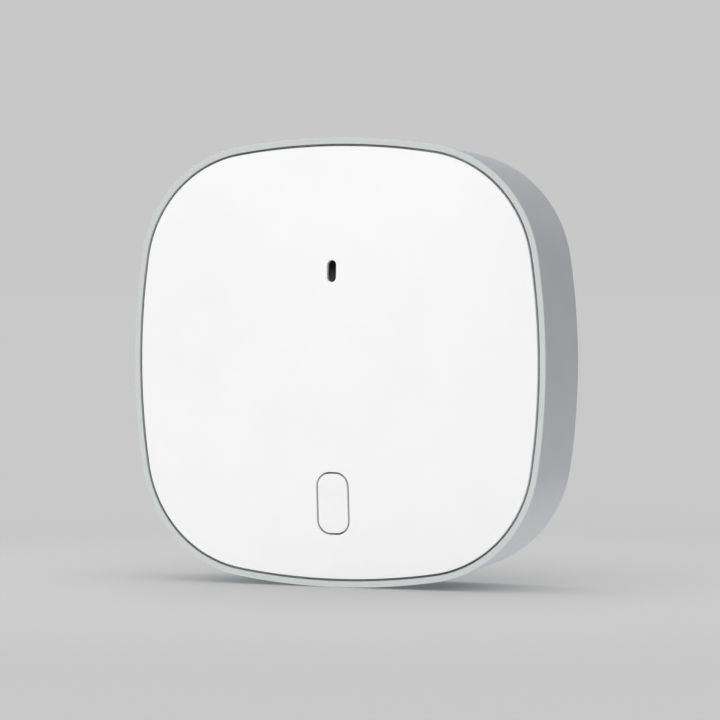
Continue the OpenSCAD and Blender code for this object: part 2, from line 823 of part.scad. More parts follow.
module socket_tongue() {
  root_end = socket_l - socket_t;
  color([0.12, 0.12, 0.13]) at_socket() {
    translate([0, 0, root_end - tongue_root]) linear_extrude(tongue_root)
      rotate(90) slot(socket_h - 2*socket_t - 2*tongue_gap, socket_w - 2*socket_t - 2*tongue_gap);
    translate([-tongue_w/2, -tongue_t/2, tongue_sink]) cube([tongue_w, tongue_t, root_end - tongue_sink]);
  }
}

// Push switch under the button

module at_switch() {
  on_board([0, button_y]) children();
}

module switch_base() {
  well_r = switch_stem_r + switch_shoulder + switch_gap;
  color([0.1, 0.1, 0.1]) at_switch() difference() {
    block([switch_size, switch_size, switch_base_h]);
    translate([0, 0, switch_base_h - switch_well]) cylinder(r = well_r, h = switch_well + lap);
  }
}

module switch_dome() {
  floor_level = switch_base_h - switch_well;
  rise = switch_well - switch_shoulder_t - switch_gap - dome_t;
  rim_r = switch_stem_r + switch_shoulder;
  ball_r = (rim_r*rim_r + rise*rise)/(2*rise);
  color([0.8, 0.8, 0.78]) at_switch() translate([0, 0, floor_level]) intersection() {
    translate([0, 0, rise - ball_r]) difference() {
      sphere(r = ball_r + dome_t);
      sphere(r = ball_r);
    }
    cylinder(r = rim_r, h = 2*switch_well);
  }
}

module switch_stem() {
  shoulder_top = switch_base_h - switch_gap/2;
  color([0.15, 0.15, 0.16]) at_switch() {
    translate([0, 0, shoulder_top - switch_shoulder_t])
      cylinder(r = switch_stem_r, h = switch_h - shoulder_top + switch_shoulder_t);
    translate([0, 0, shoulder_top - switch_shoulder_t])
      cylinder(r = switch_stem_r + switch_shoulder, h = switch_shoulder_t);
  }
}

module switch_frame() {
  color([0.78, 0.78, 0.77]) at_switch() translate([0, 0, switch_base_h]) difference() {
    block([switch_size, switch_size, switch_frame_t]);
    translate([0, 0, -lap]) cylinder(r = switch_stem_r + switch_gap, h = switch_frame_t + 2*lap);
  }
}

// Sounder between the board and the back wall

module at_sounder() {
  upright() translate([0, sounder_y, board_back - sounder_h]) children();
}

module sounder_case() {
  seat = sounder_wall + chamber_h;
  color([0.1, 0.1, 0.1]) at_sounder() difference() {
    cylinder(r = sounder_r, h = sounder_h);
    translate([0, 0, sounder_wall]) cylinder(r = sounder_r - sounder_wall - disc_ledge, h = sounder_h);
    translate([0, 0, seat]) cylinder(r = sounder_r - sounder_wall, h = sounder_h);
    translate([0, 0, -lap]) cylinder(r = sound_hole_r, h = sounder_wall + 2*lap);
  }
}

module sounder_disc() {
  seat = sounder_wall + chamber_h;
  color([0.8, 0.65, 0.35]) at_sounder() translate([0, 0, seat]) {
    cylinder(r = sounder_r - sounder_wall - disc_gap, h = disc_t);
    cylinder(r = ceramic_r, h = disc_t + ceramic_t);
  }
}

module sounder_gasket() {
  ring_t = board_back - sounder_h - back_wall;
  color([0.16, 0.16, 0.17]) upright() translate([0, sounder_y, back_wall]) difference() {
    cylinder(r = sounder_r - disc_ledge, h = ring_t);
    translate([0, 0, -lap]) cylinder(r = port_ring_r + 2*port_r, h = ring_t + 2*lap);
  }
}

// Fasteners

module case_screws() {
  color([0.55, 0.55, 0.56]) upright() four_posts() translate([0, 0, head_seat])
    screw(case_screw_r, case_screw_l, case_head_r, case_head_h);
}

module board_screws() {
  color([0.6, 0.6, 0.6]) upright() for (p = board_screw_at) translate([p[0], p[1], board_front])
    mirror([0, 0, 1]) screw(board_screw_r, board_screw_l, board_head_r, board_head_h);
}

rear_case();
front_plate();
button_cap();
light_pipe();
main_board();
network_board();
network_shield();
network_chip();
opener_radio();
radio_crystal();
opener_antenna();
memory_chip();
status_led();
socket_shell();
socket_tongue();
power_regulator();
power_inductor();
bulk_capacitors();
chip_capacitors();
switch_base();
switch_dome();
switch_stem();
switch_frame();
sounder_case();
sounder_disc();
sounder_gasket();
case_screws();
board_screws();
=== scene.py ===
"""Looks of a garage door controller: a palm-sized hub with a domed plate, a light slot and a push button.

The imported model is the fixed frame. Pieces that show are modelled again with their rounded edges, and every
piece gets its finish. Sizes are millimetres in a drawing frame: x to the right, y up and w out of the wall.
Drawing turns them into the frame's metres.
"""

import logging
import math
from collections.abc import Callable, Iterable, Mapping, Sequence
from dataclasses import dataclass, field
from enum import Enum

import bmesh
import bpy
from mathutils import Euler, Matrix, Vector


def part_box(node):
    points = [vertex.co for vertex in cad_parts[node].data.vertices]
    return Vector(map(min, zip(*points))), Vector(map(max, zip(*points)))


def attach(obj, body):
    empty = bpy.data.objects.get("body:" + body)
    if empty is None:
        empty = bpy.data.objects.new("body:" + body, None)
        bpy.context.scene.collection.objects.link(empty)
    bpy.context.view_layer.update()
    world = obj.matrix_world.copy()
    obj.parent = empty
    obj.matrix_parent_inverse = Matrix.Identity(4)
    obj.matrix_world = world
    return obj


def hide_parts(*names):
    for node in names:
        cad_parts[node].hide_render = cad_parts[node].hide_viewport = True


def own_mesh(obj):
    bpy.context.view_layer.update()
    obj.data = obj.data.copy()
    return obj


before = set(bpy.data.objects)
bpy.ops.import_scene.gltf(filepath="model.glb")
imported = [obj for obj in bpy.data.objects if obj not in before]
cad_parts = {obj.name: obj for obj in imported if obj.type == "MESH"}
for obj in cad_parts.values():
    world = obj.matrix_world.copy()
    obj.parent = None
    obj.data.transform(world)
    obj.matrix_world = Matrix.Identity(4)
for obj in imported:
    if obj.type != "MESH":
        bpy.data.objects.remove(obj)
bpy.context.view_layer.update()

MM = 0.001
REPEAT_TREE = "repeat_piece"
LOG = logging.getLogger("controller")

Span = tuple[float, float]
Place = tuple[float, float]
Triple = tuple[float, float, float]
Flat = list[Place]
Ring = list[Vector]
Shape = Callable[[float], Flat]

MIDDLE: Place = (0.0, 0.0)

# Fineness of the clouds and of the grain, and where the blend of two colours starts and ends
CLOUD_DETAIL = 3.0
CLOUD_ROUGHNESS = 0.55
GRAIN_DETAIL = 2.0
BLEND_ENDS: Span = (0.3, 0.7)
# Rolling draws the grain out: its scale along the roll, as a share of the scale across
ROLL_SHARE = 0.04
# Points this close, in millimetres, are merged. An edge at a larger angle, in degrees, is hard
MERGE_MM = 0.0005
HARD_EDGE = 32.0
WIRE_HARD_EDGE = 60.0
# A rounded rim's arc ends at this angle, in degrees, and its cutter stands this far over the face
RIM_END = 20.0
RIM_OVER = 0.05
RIM_STEPS = 6
# Segments of a broken edge, steps of one turn of a coil and steps round its wire
BEVEL_STEPS = 2
COIL_STEPS = 40
WIRE_STEPS = 16
# The sRGB curve is straight up to its knee and follows a power beyond it
SRGB_MOST = 255
SRGB_KNEE = 0.04045
SRGB_SLOPE = 12.92
SRGB_LIFT = 0.055
SRGB_POWER = 2.4
# A camera looks straight down until this turn about X, in degrees, brings it level
CAMERA_LEVEL = 90.0


def linear(colour: str) -> tuple[float, float, float, float]:
    """Turn an sRGB colour into linear light, by the standard curve.

    Args:
        colour: Hex value such as "#C8C8C8".

    Returns:
        Red, green, blue and alpha from 0 to 1.
    """
    light = []
    for start in (1, 3, 5):
        part = int(colour[start:start + 2], 16)/SRGB_MOST
        curved = ((part + SRGB_LIFT)/(1 + SRGB_LIFT))**SRGB_POWER
        light.append(part/SRGB_SLOPE if part <= SRGB_KNEE else curved)
    return (*light, 1.0)


def add_node(tree: bpy.types.NodeTree, kind: str, inputs: Mapping | None = None,
             **settings: object) -> bpy.types.Node:
    """Add a node with its settings and links.

    Args:
        tree: Tree that takes the node.
        kind: Blender's name for the type of node.
        inputs: Socket name or number, and its value or the output that is linked to it.
        settings: Properties of the node.

    Returns:
        The new node.
    """
    node = tree.nodes.new(kind)
    for name, value in settings.items():
        setattr(node, name, value)
    for key, value in (inputs or {}).items():
        if isinstance(value, bpy.types.NodeSocket):
            tree.links.new(value, node.inputs[key])
        else:
            node.inputs[key].default_value = value
    return node


class Body(Enum):
    """Bodies that carry the pieces made here."""

    HOUSING = "housing"
    BUTTON = "button"


class Step(Enum):
    """What is done with another solid: it is joined on or cut out."""

    JOIN = "UNION"
    CUT = "DIFFERENCE"


# Finishes


class Relief(Enum):
    """Fine relief of a surface."""

    GRAIN = "grain"
    ROLLED = "rolled"
    WEAVE = "weave"
    CELLS = "cells"


@dataclass(frozen=True)
class Finish:
    """A material: two near colours that cloud into each other, its gloss and its fine relief.

    Attributes:
        name: What the material is and how its surface was made.
        colour: Main colour.
        cloud: Colour that the main one drifts to.
        roughness: Mean roughness.
        roughness_span: How far the relief moves the roughness.
        metallic: 1 for bare metal.
        ior: Index of refraction.
        specular: Level of the mirrored light, where 0.5 is what the index of refraction gives.
        coat: Weight of a clear layer on top.
        cloud_mm: Width of the drifts of colour.
        fade_mm: Heights over which painted shade fades the main colour to the other, in place of the drift.
        rim: Colour of a rim at the front, where there is one.
        rim_mm: Depths between which the other colours go over to the rim's.
        grain_mm: Width of one grain, thread or cell of the relief.
        relief_mm: Height of the relief.
        relief: Kind of relief.
    """

    name: str
    colour: str
    cloud: str
    roughness: float
    roughness_span: float = 0.08
    metallic: float = 0.0
    ior: float = 1.5
    specular: float = 0.5
    coat: float = 0.0
    cloud_mm: float = 6.0
    fade_mm: Span | None = None
    rim: str | None = None
    rim_mm: Span = (0.0, 0.0)
    grain_mm: float = 0.3
    relief_mm: float = 0.004
    relief: Relief = Relief.GRAIN

    def material(self) -> bpy.types.Material:
        """Give the material, made at the first call."""
        made = bpy.data.materials.get(self.name)
        return made if made else self._build()

    def _build(self) -> bpy.types.Material:
        """Make the node tree: blended colour, relief in the roughness and relief in the normal.

        Returns:
            The new material.
        """
        material = bpy.data.materials.new(self.name)
        material.use_nodes = True
        tree = material.node_tree
        tree.nodes.clear()
        place = add_node(tree, "ShaderNodeTexCoord").outputs["Object"]
        colour = self._blend(tree, place)
        height = self._height(tree, place)
        half = self.roughness_span/2
        rough = add_node(tree, "ShaderNodeMapRange",
                         {"Value": height, "To Min": self.roughness - half, "To Max": self.roughness + half})
        bump = add_node(tree, "ShaderNodeBump",
                        {"Height": height, "Distance": self.relief_mm*MM, "Strength": 1.0})
        shader = add_node(tree, "ShaderNodeBsdfPrincipled", {
            "Base Color": colour, "Roughness": rough.outputs["Result"], "Normal": bump.outputs["Normal"],
            "Metallic": self.metallic, "IOR": self.ior, "Specular IOR Level": self.specular,
            "Coat Weight": self.coat})
        add_node(tree, "ShaderNodeOutputMaterial", {"Surface": shader.outputs["BSDF"]})
        return material

    def _blend(self, tree: bpy.types.NodeTree, place: bpy.types.NodeSocket) -> bpy.types.NodeSocket:
        """Blend the two colours in clouds or by height, and add the rim's.

        Args:
            tree: Tree of the material.
            place: Object coordinates.

        Returns:
            The colour's socket.
        """
        if self.fade_mm:
            share = self._along(tree, place, "Z", self.fade_mm)
        else:
            clouds = add_node(tree, "ShaderNodeTexNoise", {
                "Vector": place, "Scale": 1/(self.cloud_mm*MM), "Detail": CLOUD_DETAIL,
                "Roughness": CLOUD_ROUGHNESS})
            share = clouds.outputs["Fac"]
        ramp = add_node(tree, "ShaderNodeValToRGB", {"Fac": share})
        for end, position, colour in zip(ramp.color_ramp.elements, BLEND_ENDS, (self.colour, self.cloud)):
            end.position = position
            end.color = linear(colour)
        blended = ramp.outputs["Color"]
        if self.rim is None:
            return blended
        share = self._along(tree, place, "Y", self.rim_mm)
        mixed = add_node(tree, "ShaderNodeMixRGB",
                         {"Fac": share, "Color1": blended, "Color2": linear(self.rim)})
        return mixed.outputs["Color"]

    @staticmethod
    def _along(tree: bpy.types.NodeTree, place: bpy.types.NodeSocket, axis: str,
               ends: Span) -> bpy.types.NodeSocket:
        """Give how far a point lies from one place on an axis to another.

        Args:
            tree: Tree of the material.
            place: Object coordinates.
            axis: Name of the axis.
            ends: The two places, in millimetres.

        Returns:
            Socket with the share from 0 to 1.
        """
        start, end = ends
        value = add_node(tree, "ShaderNodeSeparateXYZ", {"Vector": place}).outputs[axis]
        share = add_node(tree, "ShaderNodeMapRange",
                         {"Value": value, "From Min": start*MM, "From Max": end*MM})
        return share.outputs["Result"]

    def _height(self, tree: bpy.types.NodeTree, place: bpy.types.NodeSocket) -> bpy.types.NodeSocket:
        """Draw the relief.

        Args:
            tree: Tree of the material.
            place: Object coordinates.

        Returns:
            Socket with the height from 0 to 1.
        """
        scale = 1/(self.grain_mm*MM)
        if self.relief is Relief.CELLS:
            cells = add_node(tree, "ShaderNodeTexVoronoi", {"Vector": place, "Scale": scale})
            return cells.outputs["Distance"]
        if self.relief is Relief.WEAVE:
            threads = [add_node(tree, "ShaderNodeTexWave", {"Vector": place, "Scale": scale/math.tau},
                                bands_direction=way).outputs["Fac"] for way in ("X", "Z")]
            weave = add_node(tree, "ShaderNodeMath", {0: threads[0], 1: threads[1]}, operation="MULTIPLY")
            return weave.outputs["Value"]
        if self.relief is Relief.ROLLED:
            lines = add_node(tree, "ShaderNodeMapping", {"Vector": place, "Scale": (1.0, 1.0, ROLL_SHARE)})
            place = lines.outputs["Vector"]
        grain = add_node(tree, "ShaderNodeTexNoise",
                         {"Vector": place, "Scale": scale, "Detail": GRAIN_DETAIL})
        return grain.outputs["Fac"]


# ABS from a mould with a fine spark-eroded face: matte, with a faint broad sheen. Its grain of about 0.1 mm
# is drawn at 0.3 mm, so that it shows. The lip is a touch paler and less blue than the wall
CASE_ABS = Finish("case_grey_abs_moulded", "#CACCCF", "#C6C8CC", 0.6, ior=1.53, specular=0.25, cloud_mm=14.0,
                  relief_mm=0.003, rim="#CBCECD", rim_mm=(-8.9, -9.1))
# The same plastic in white, from a finer mould that leaves it more sheen
PLATE_ABS = Finish("plate_white_abs_moulded", "#F4F4F4", "#F1F1F1", 0.5, ior=1.53, cloud_mm=16.0,
                   relief_mm=0.002)
BUTTON_ABS = Finish("button_white_abs_moulded", "#F3F3F3", "#F0F0F0", 0.48, ior=1.53, cloud_mm=5.0,
                    relief_mm=0.002)
# Smoked acrylic with a smooth front that mirrors little: near black, with painted shade that darkens its
# upper end under the slot's upper edge, and paler towards its lower end
SMOKED_ACRYLIC = Finish("lens_smoked_acrylic_moulded", "#040405", "#3E3E40", 0.2, specular=0.03,
                        grain_mm=0.8, relief_mm=0.0006, roughness_span=0.04, fade_mm=(58.8, 52.6))
# Glass cloth in epoxy under a solder mask: the threads show as a faint even check
BOARD_MASK = Finish("board_green_solder_mask", "#1F5A38", "#1A4E31", 0.35, ior=1.55, coat=0.3, grain_mm=0.5,
                    relief_mm=0.004, relief=Relief.WEAVE)
MODULE_MASK = Finish("module_black_solder_mask", "#17181B", "#1D1E22", 0.38, ior=1.55, coat=0.3,
                     grain_mm=0.5, relief_mm=0.004, relief=Relief.WEAVE)
# Tinned steel sheet, rolled and then pressed: fine lines along the roll
TINNED_STEEL = Finish("tinned_steel_rolled", "#C6C6C3", "#B9B9B6", 0.3, metallic=1.0, grain_mm=0.12,
                      relief_mm=0.001, relief=Relief.ROLLED)
# Black epoxy moulding compound: dull, with a fine sandy face
CHIP_EPOXY = Finish("chip_epoxy_moulded", "#1A1A1B", "#202022", 0.6, ior=1.55, cloud_mm=2.0, grain_mm=0.08,
                    relief_mm=0.003)
# Nickel-plated lid, smooth and a little warm
NICKEL_LID = Finish("crystal_nickel_plated", "#CDC8B8", "#C3BEAE", 0.25, metallic=1.0, cloud_mm=2.0,
                    grain_mm=0.1, relief_mm=0.0008)
# Drawn copper wire, a little dulled by air
COPPER_WIRE = Finish("copper_wire_drawn", "#C07E55", "#A9663F", 0.32, metallic=1.0, cloud_mm=3.0,
                     grain_mm=0.15, relief_mm=0.001)
# White reflector resin of the lamp, with a dull smooth face
LAMP_RESIN = Finish("lamp_white_resin_moulded", "#EFEBDD", "#E7E2D2", 0.4, cloud_mm=1.5, grain_mm=0.1,
                    relief_mm=0.001)
# Black glass-filled plastic that carries the contacts: dull, with a fine grain
CONTACT_RESIN = Finish("contact_black_glass_filled", "#1B1C1E", "#232426", 0.45, cloud_mm=1.5, grain_mm=0.1,
                       relief_mm=0.002)
# Gold flash over nickel on the contacts: smooth, bright and yellow
GOLD_FLASH = Finish("contact_gold_flash", "#D9B45A", "#CBA54C", 0.25, metallic=1.0, cloud_mm=1.0,
                    grain_mm=0.1, relief_mm=0.0006)
# Pressed ferrite powder: dark grey, dull and sandy
FERRITE = Finish("ferrite_pressed", "#3A3A3C", "#2E2E30", 0.7, cloud_mm=1.5, grain_mm=0.12, relief_mm=0.006)
# Drawn aluminium can: bright, with fine lines along the draw
CAN_ALUMINIUM = Finish("can_aluminium_drawn", "#C9CACC", "#BEBFC2", 0.28, metallic=1.0, cloud_mm=3.0,
                       grain_mm=0.12, relief_mm=0.001, relief=Relief.ROLLED)
# Fired ceramic of the chip capacitors: tan, with a dull glaze
CERAMIC = Finish("capacitor_ceramic_fired", "#9C7F5C", "#8E7150", 0.5, cloud_mm=0.8, grain_mm=0.08,
                 relief_mm=0.002)
# Switch mouldings: black nylon, slightly waxy
SWITCH_NYLON = Finish("switch_black_nylon_moulded", "#1D1D1E", "#252527", 0.45, cloud_mm=1.5, grain_mm=0.1,
                      relief_mm=0.002)
# Spring steel of the snap dome, rolled bright
SPRING_STEEL = Finish("spring_steel_rolled", "#C8C7C2", "#BDBCB7", 0.22, metallic=1.0, cloud_mm=2.0,
                      grain_mm=0.1, relief_mm=0.0006, relief=Relief.ROLLED)
# Brass disc of the sounder, rolled: yellow, with fine lines along the roll
BRASS = Finish("disc_brass_rolled", "#C9A45A", "#BA944B", 0.3, metallic=1.0, cloud_mm=4.0, grain_mm=0.15,
               relief_mm=0.001, relief=Relief.ROLLED)
# Closed-cell foam: charcoal, dull, with small round cells
FOAM = Finish("gasket_foam_cut", "#2C2C2E", "#363638", 0.9, cloud_mm=2.0, grain_mm=0.5, relief_mm=0.08,
              relief=Relief.CELLS)
# Zinc-plated screw steel, bright with a faint blue cloud
ZINC_STEEL = Finish("screw_steel_zinc_plated", "#B4B7BB", "#A6AAB0", 0.34, metallic=1.0, cloud_mm=1.5,
                    grain_mm=0.1, relief_mm=0.0015)

# Finish of each node whose own solid shows
NODE_FINISHES: dict[str, Finish] = {
    "main_board": BOARD_MASK,
    "network_board": MODULE_MASK,
    "network_shield": TINNED_STEEL,
    "network_chip": CHIP_EPOXY,
    "opener_radio": CHIP_EPOXY,
    "radio_crystal": NICKEL_LID,
    "memory_chip": CHIP_EPOXY,
    "status_led": LAMP_RESIN,
    "power_regulator": CHIP_EPOXY,
    "power_inductor": FERRITE,
    "switch_base": SWITCH_NYLON,
    "switch_stem": SWITCH_NYLON,
    "switch_frame": TINNED_STEEL,
    "sounder_case": SWITCH_NYLON,
    "sounder_disc": BRASS,
    "sounder_gasket": FOAM,
}


# Drawing frame and outlines


@dataclass(frozen=True)
class Drawing:
    """The drawing frame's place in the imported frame.

    Attributes:
        wall_y: Place of the wall face along the frame's Y, in metres.
        middle_z: Height of the body's middle, in metres.
    """

    wall_y: float
    middle_z: float

    def at(self, x: float, y: float, w: float) -> Vector:
        """Give the place of a drawing point in the frame."""
        return Vector((x*MM, self.wall_y - w*MM, self.middle_z + y*MM))

    def box(self, node: str) -> tuple[Triple, Triple]:
        """Give a node's box in the drawing frame.

        Args:
            node: Name of the node.

        Returns:
            Its left, lower, back corner and its right, upper, front corner.
        """
        low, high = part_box(node)
        lower, upper = [(z - self.middle_z)/MM for z in (low.z, high.z)]
        back, front = [(self.wall_y - y)/MM for y in (high.y, low.y)]
        return (low.x/MM, lower, back), (high.x/MM, upper, front)

    def front(self, node: str) -> float:
        """Give the level of a node's front."""
        return self.box(node)[1][2]

    def back(self, node: str) -> float:
        """Give the level of a node's back."""
        return self.box(node)[0][2]


# A drawing frame round the origin, for what is set in place later
PLAIN = Drawing(0.0, 0.0)


@dataclass(frozen=True)
class SoftSquare:
    """Outline of four bowed sides and four round corners, arcs that meet without a kink.

    Attributes:
        half: Half the width.
        side_r: Radius of the sides.
        corner_r: Radius of the corners.
        side_steps: Steps along a side.
        corner_steps: Steps round a corner.
    """

    half: float = 40.0
    side_r: float = 125.2
    corner_r: float = 23.2
    side_steps: int = 24
    corner_steps: int = 28

    @property
    def side_c(self) -> float:
        """Centre of the right side's arc."""
        return self.half - self.side_r

    @property
    def corner_c(self) -> float:
        """Centre of the upper right corner's arc, the same both ways."""
        gap = self.side_r - self.corner_r
        return (self.side_c + math.sqrt(2*gap*gap - self.side_c**2))/2

    @property
    def join(self) -> float:
        """Angle at which a side ends and a corner starts."""
        return math.atan2(self.corner_c, self.corner_c - self.side_c)

    def points(self, inset: float) -> Flat:
        """Give the outline, counterclockwise from the right side's lower end.

        Args:
            inset: How far the outline is drawn in.

        Returns:
            The points of the outline.
        """
        side_r, corner_r = self.side_r - inset, self.corner_r - inset
        side = [(self.side_c + side_r*math.cos(a), side_r*math.sin(a))
                for a in spread(-self.join, self.join, self.side_steps)[:-1]]
        corner = [(self.corner_c + corner_r*math.cos(a), self.corner_c + corner_r*math.sin(a))
                  for a in spread(self.join, math.pi/2 - self.join, self.corner_steps)[:-1]]
        turns = ((1, 0), (0, 1), (-1, 0), (0, -1))
        return [(x*c - y*s, x*s + y*c) for c, s in turns for x, y in side + corner]

    def reach(self, x: float, y: float, inset: float) -> float:
        """Give the distance from the middle to the outline, in the direction of a point.

        Args:
            x: Place of the point to the right.
            y: Place of the point upwards.
            inset: How far the outline is drawn in.

        Returns:
            The distance.
        """
        near, far = sorted((abs(x), abs(y)))
        angle = math.atan2(near, far)
        side_r, corner_r = self.side_r - inset, self.corner_r - inset
        join_x = self.corner_c + corner_r*math.cos(self.join)
        join_y = self.corner_c + corner_r*math.sin(self.join)
        if angle <= math.atan2(join_y, join_x):
            return self.side_c*math.cos(angle) + math.sqrt(side_r**2 - (self.side_c*math.sin(angle))**2)
        along = self.corner_c*(math.cos(angle) + math.sin(angle))
        return along + math.sqrt(along**2 - 2*self.corner_c**2 + corner_r**2)


def spread(start: float, end: float, steps: int) -> list[float]:
    """Give evenly spaced values from start to end, both included."""
    return [start + (end - start)*i/steps for i in range(steps + 1)]


def rounding(radius: float, steps: int) -> list[Span]:
    """Give how far a rounded edge is drawn in and how far it lies down, from its side to its top."""
    return [(radius*(1 - math.cos(a)), radius*(1 - math.sin(a))) for a in spread(0, math.pi/2, steps)]


def disc_points(radius: float, steps: int = 48) -> Flat:
    """Give a circle, counterclockwise."""
    angles = spread(0, math.tau, steps)[:-1]
    return [(radius*math.cos(a), radius*math.sin(a)) for a in angles]


def box_points(width: float, length: float, radius: float, steps: int = 12) -> Flat:
    """Give a rectangle with round corners, counterclockwise.

    Args:
        width: Size along x.
        length: Size along y.
        radius: Radius of the corners.
        steps: Steps round a corner.

    Returns:
        The points of the outline.
    """
    points = []
    for quarter, (sx, sy) in enumerate(((1, 1), (-1, 1), (-1, -1), (1, -1))):
        cx, cy = sx*(width/2 - radius), sy*(length/2 - radius)
        for a in spread(quarter*math.pi/2, (quarter + 1)*math.pi/2, steps):
            points.append((cx + radius*math.cos(a), cy + radius*math.sin(a)))
    return points


def slot_points(width: float, length: float, steps: int = 24) -> Flat:
    """Give a slot with round ends, long along y, counterclockwise.

    Args:
        width: Size along x.
        length: Size along y.
        steps: Steps round an end.

    Returns:
        The points of the outline.
    """
    shift = (length - width)/2
    upper = [(width/2*math.cos(a), shift + width/2*math.sin(a)) for a in spread(0, math.pi, steps)]
    return upper + [(-x, -y) for x, y in upper]


def ring(points: Flat, level: float, middle: Place = MIDDLE) -> Ring:
    """Give an outline at a level of the drawing frame, moved to its middle."""
    return [Vector((x + middle[0], y + middle[1], level)) for x, y in points]


def scaled(points: Flat, share: float) -> Flat:
    """Give an outline drawn in towards the middle."""
    return [(share*x, share*y) for x, y in points]


def rim_rings(shape: Shape, middle: Place, face: float, depth: float, radius: float) -> list[Ring]:
    """Give the rings of a cutter that rounds the rim of its hole where it meets a face.

    Args:
        shape: Function that gives the hole's outline, grown by a distance.
        middle: Middle of the hole.
        face: Level of the face.
        depth: How far the cutter reaches behind the face.
        radius: Radius of the rounded rim.

    Returns:
        Rings from the cutter's end to just over the face.
    """
    last = math.radians(RIM_END)
    rings = [ring(shape(0.0), face - depth, middle)]
    for a in spread(math.pi/2, last, RIM_STEPS):
        rings.append(ring(shape(radius*(1 - math.sin(a))), face - radius*(1 - math.cos(a)), middle))
    grown = radius*(1 - math.sin(last)) + (RIM_OVER + radius*(1 - math.cos(last)))/math.tan(last)
    rings.append(ring(shape(grown), face + RIM_OVER, middle))
    return rings


# Mesh tools


def loft(rings: Sequence[Ring], drawing: Drawing, name: str, closed: bool = False) -> bpy.types.Object:
    """Make a closed skin through rings of equal length.

    Args:
        rings: Rings in the drawing frame, in order along the skin.
        drawing: The drawing frame's place.
        name: Name of the new object.
        closed: Whether the last ring joins the first, in place of a flat face at both ends.

    Returns:
        The new object, at the origin.
    """
    bm = bmesh.new()
    rows = [[bm.verts.new(drawing.at(*p)) for p in points] for points in rings]
    count = len(rows[0])
    following = rows[1:] + rows[:1] if closed else rows[1:]
    for low, high in zip(rows, following):
        for i in range(count):
            j = (i + 1) % count
            bm.faces.new((low[i], low[j], high[j], high[i]))
    if not closed:
        bm.faces.new(reversed(rows[0]))
        bm.faces.new(rows[-1])
    bmesh.ops.recalc_face_normals(bm, faces=bm.faces)
    return as_object(bm, name)


def blocks(boxes: Sequence[tuple[Triple, Triple]], edge: float, name: str) -> bpy.types.Object:
    """Make boxes with broken edges round the origin.

    Args:
        boxes: Middle and size of each box along the frame's axes, in millimetres.
        edge: Width of the broken edges, in millimetres.
        name: Name of the new object.

    Returns:
        One object with all the boxes.
    """
    bm = bmesh.new()
    for middle, size in boxes:
        corners = bmesh.ops.create_cube(bm, size=1.0)["verts"]
        bmesh.ops.scale(bm, vec=Vector(size)*MM, verts=corners)
        bmesh.ops.translate(bm, vec=Vector(middle)*MM, verts=corners)
    bmesh.ops.bevel(bm, geom=bm.edges, offset=edge*MM, segments=BEVEL_STEPS, affect="EDGES")
    return as_object(bm, name)


def as_object(bm: bmesh.types.BMesh, name: str) -> bpy.types.Object:
    """Turn a bmesh into a new object in the scene.

    Args:
        bm: The bmesh, which is freed.
        name: Name of the new object.

    Returns:
        The new object.
    """
    mesh = bpy.data.meshes.new(name)
    bm.to_mesh(mesh)
    bm.free()
    made = bpy.data.objects.new(name, mesh)
    bpy.context.scene.collection.objects.link(made)
    return made


def join_objects(objects: Iterable[bpy.types.Object], name: str) -> bpy.types.Object:
    """Put the meshes of several objects into one.

    Args:
        objects: The objects, which are removed.
        name: Name of the new object.

    Returns:
        The new object.
    """
    bm = bmesh.new()
    for made in objects:
        bm.from_mesh(made.data)
        bpy.data.objects.remove(made)
    return as_object(bm, name)


def flatten(made: bpy.types.Object) -> None:
    """Turn an object and its modifiers into a plain mesh.

    Args:
        made: Object that keeps its name and takes the new mesh.
    """
    graph = bpy.context.evaluated_depsgraph_get()
    mesh = bpy.data.meshes.new_from_object(made.evaluated_get(graph), preserve_all_data_layers=True,
                                           depsgraph=graph)
    made.modifiers.clear()
    old = made.data
    made.data = mesh
    mesh.name = made.name
    bpy.data.meshes.remove(old)


def cut_and_join(made: bpy.types.Object, steps: Sequence[tuple[Step, bpy.types.Object]]) -> None:
    """Join solids to a solid, or cut them out of it, one after another.

    Args:
        made: Solid that is changed.
        steps: What is done, and the other solid, which is removed afterwards.
    """
    for number, (step, other) in enumerate(steps):
        change = made.modifiers.new(f"step_{number}", "BOOLEAN")
        change.operation = step.value
        change.object = other
        change.solver = "MANIFOLD"
    flatten(made)
    for _, other in steps:
        bpy.data.objects.remove(other)


def shade(made: bpy.types.Object, limit: float = HARD_EDGE) -> None:
    """Shade an object smooth, with hard edges past an angle and normals led by the large faces.

    Args:
        made: Object with a plain mesh.
        limit: Angle between faces, in degrees, from which an edge is hard.
    """
    bm = bmesh.new()
    bm.from_mesh(made.data)
    bmesh.ops.remove_doubles(bm, verts=bm.verts, dist=MERGE_MM*MM)
    for face in bm.faces:
        face.smooth = True
    for edge in bm.edges:
        edge.smooth = len(edge.link_faces) == 2 and edge.calc_face_angle() < math.radians(limit)
    bm.to_mesh(made.data)
    bm.free()
    weigh = made.modifiers.new("weigh", "WEIGHTED_NORMAL")
    weigh.keep_sharp = True
    flatten(made)


# Geometry node trees


def node_tree(name: str, sockets: Mapping[str, str]) -> tuple[bpy.types.NodeTree, bpy.types.Node]:
    """Start a geometry node tree.

    Args:
        name: Name of the tree.
        sockets: Name and socket type of each input after the geometry.

    Returns:
        The tree and its input node.
    """
    tree = bpy.data.node_groups.new(name, "GeometryNodeTree")
    tree.interface.new_socket("Geometry", in_out="INPUT", socket_type="NodeSocketGeometry")
    for label, kind in sockets.items():
        tree.interface.new_socket(label, in_out="INPUT", socket_type=kind)
    tree.interface.new_socket("Geometry", in_out="OUTPUT", socket_type="NodeSocketGeometry")
    return tree, add_node(tree, "NodeGroupInput")


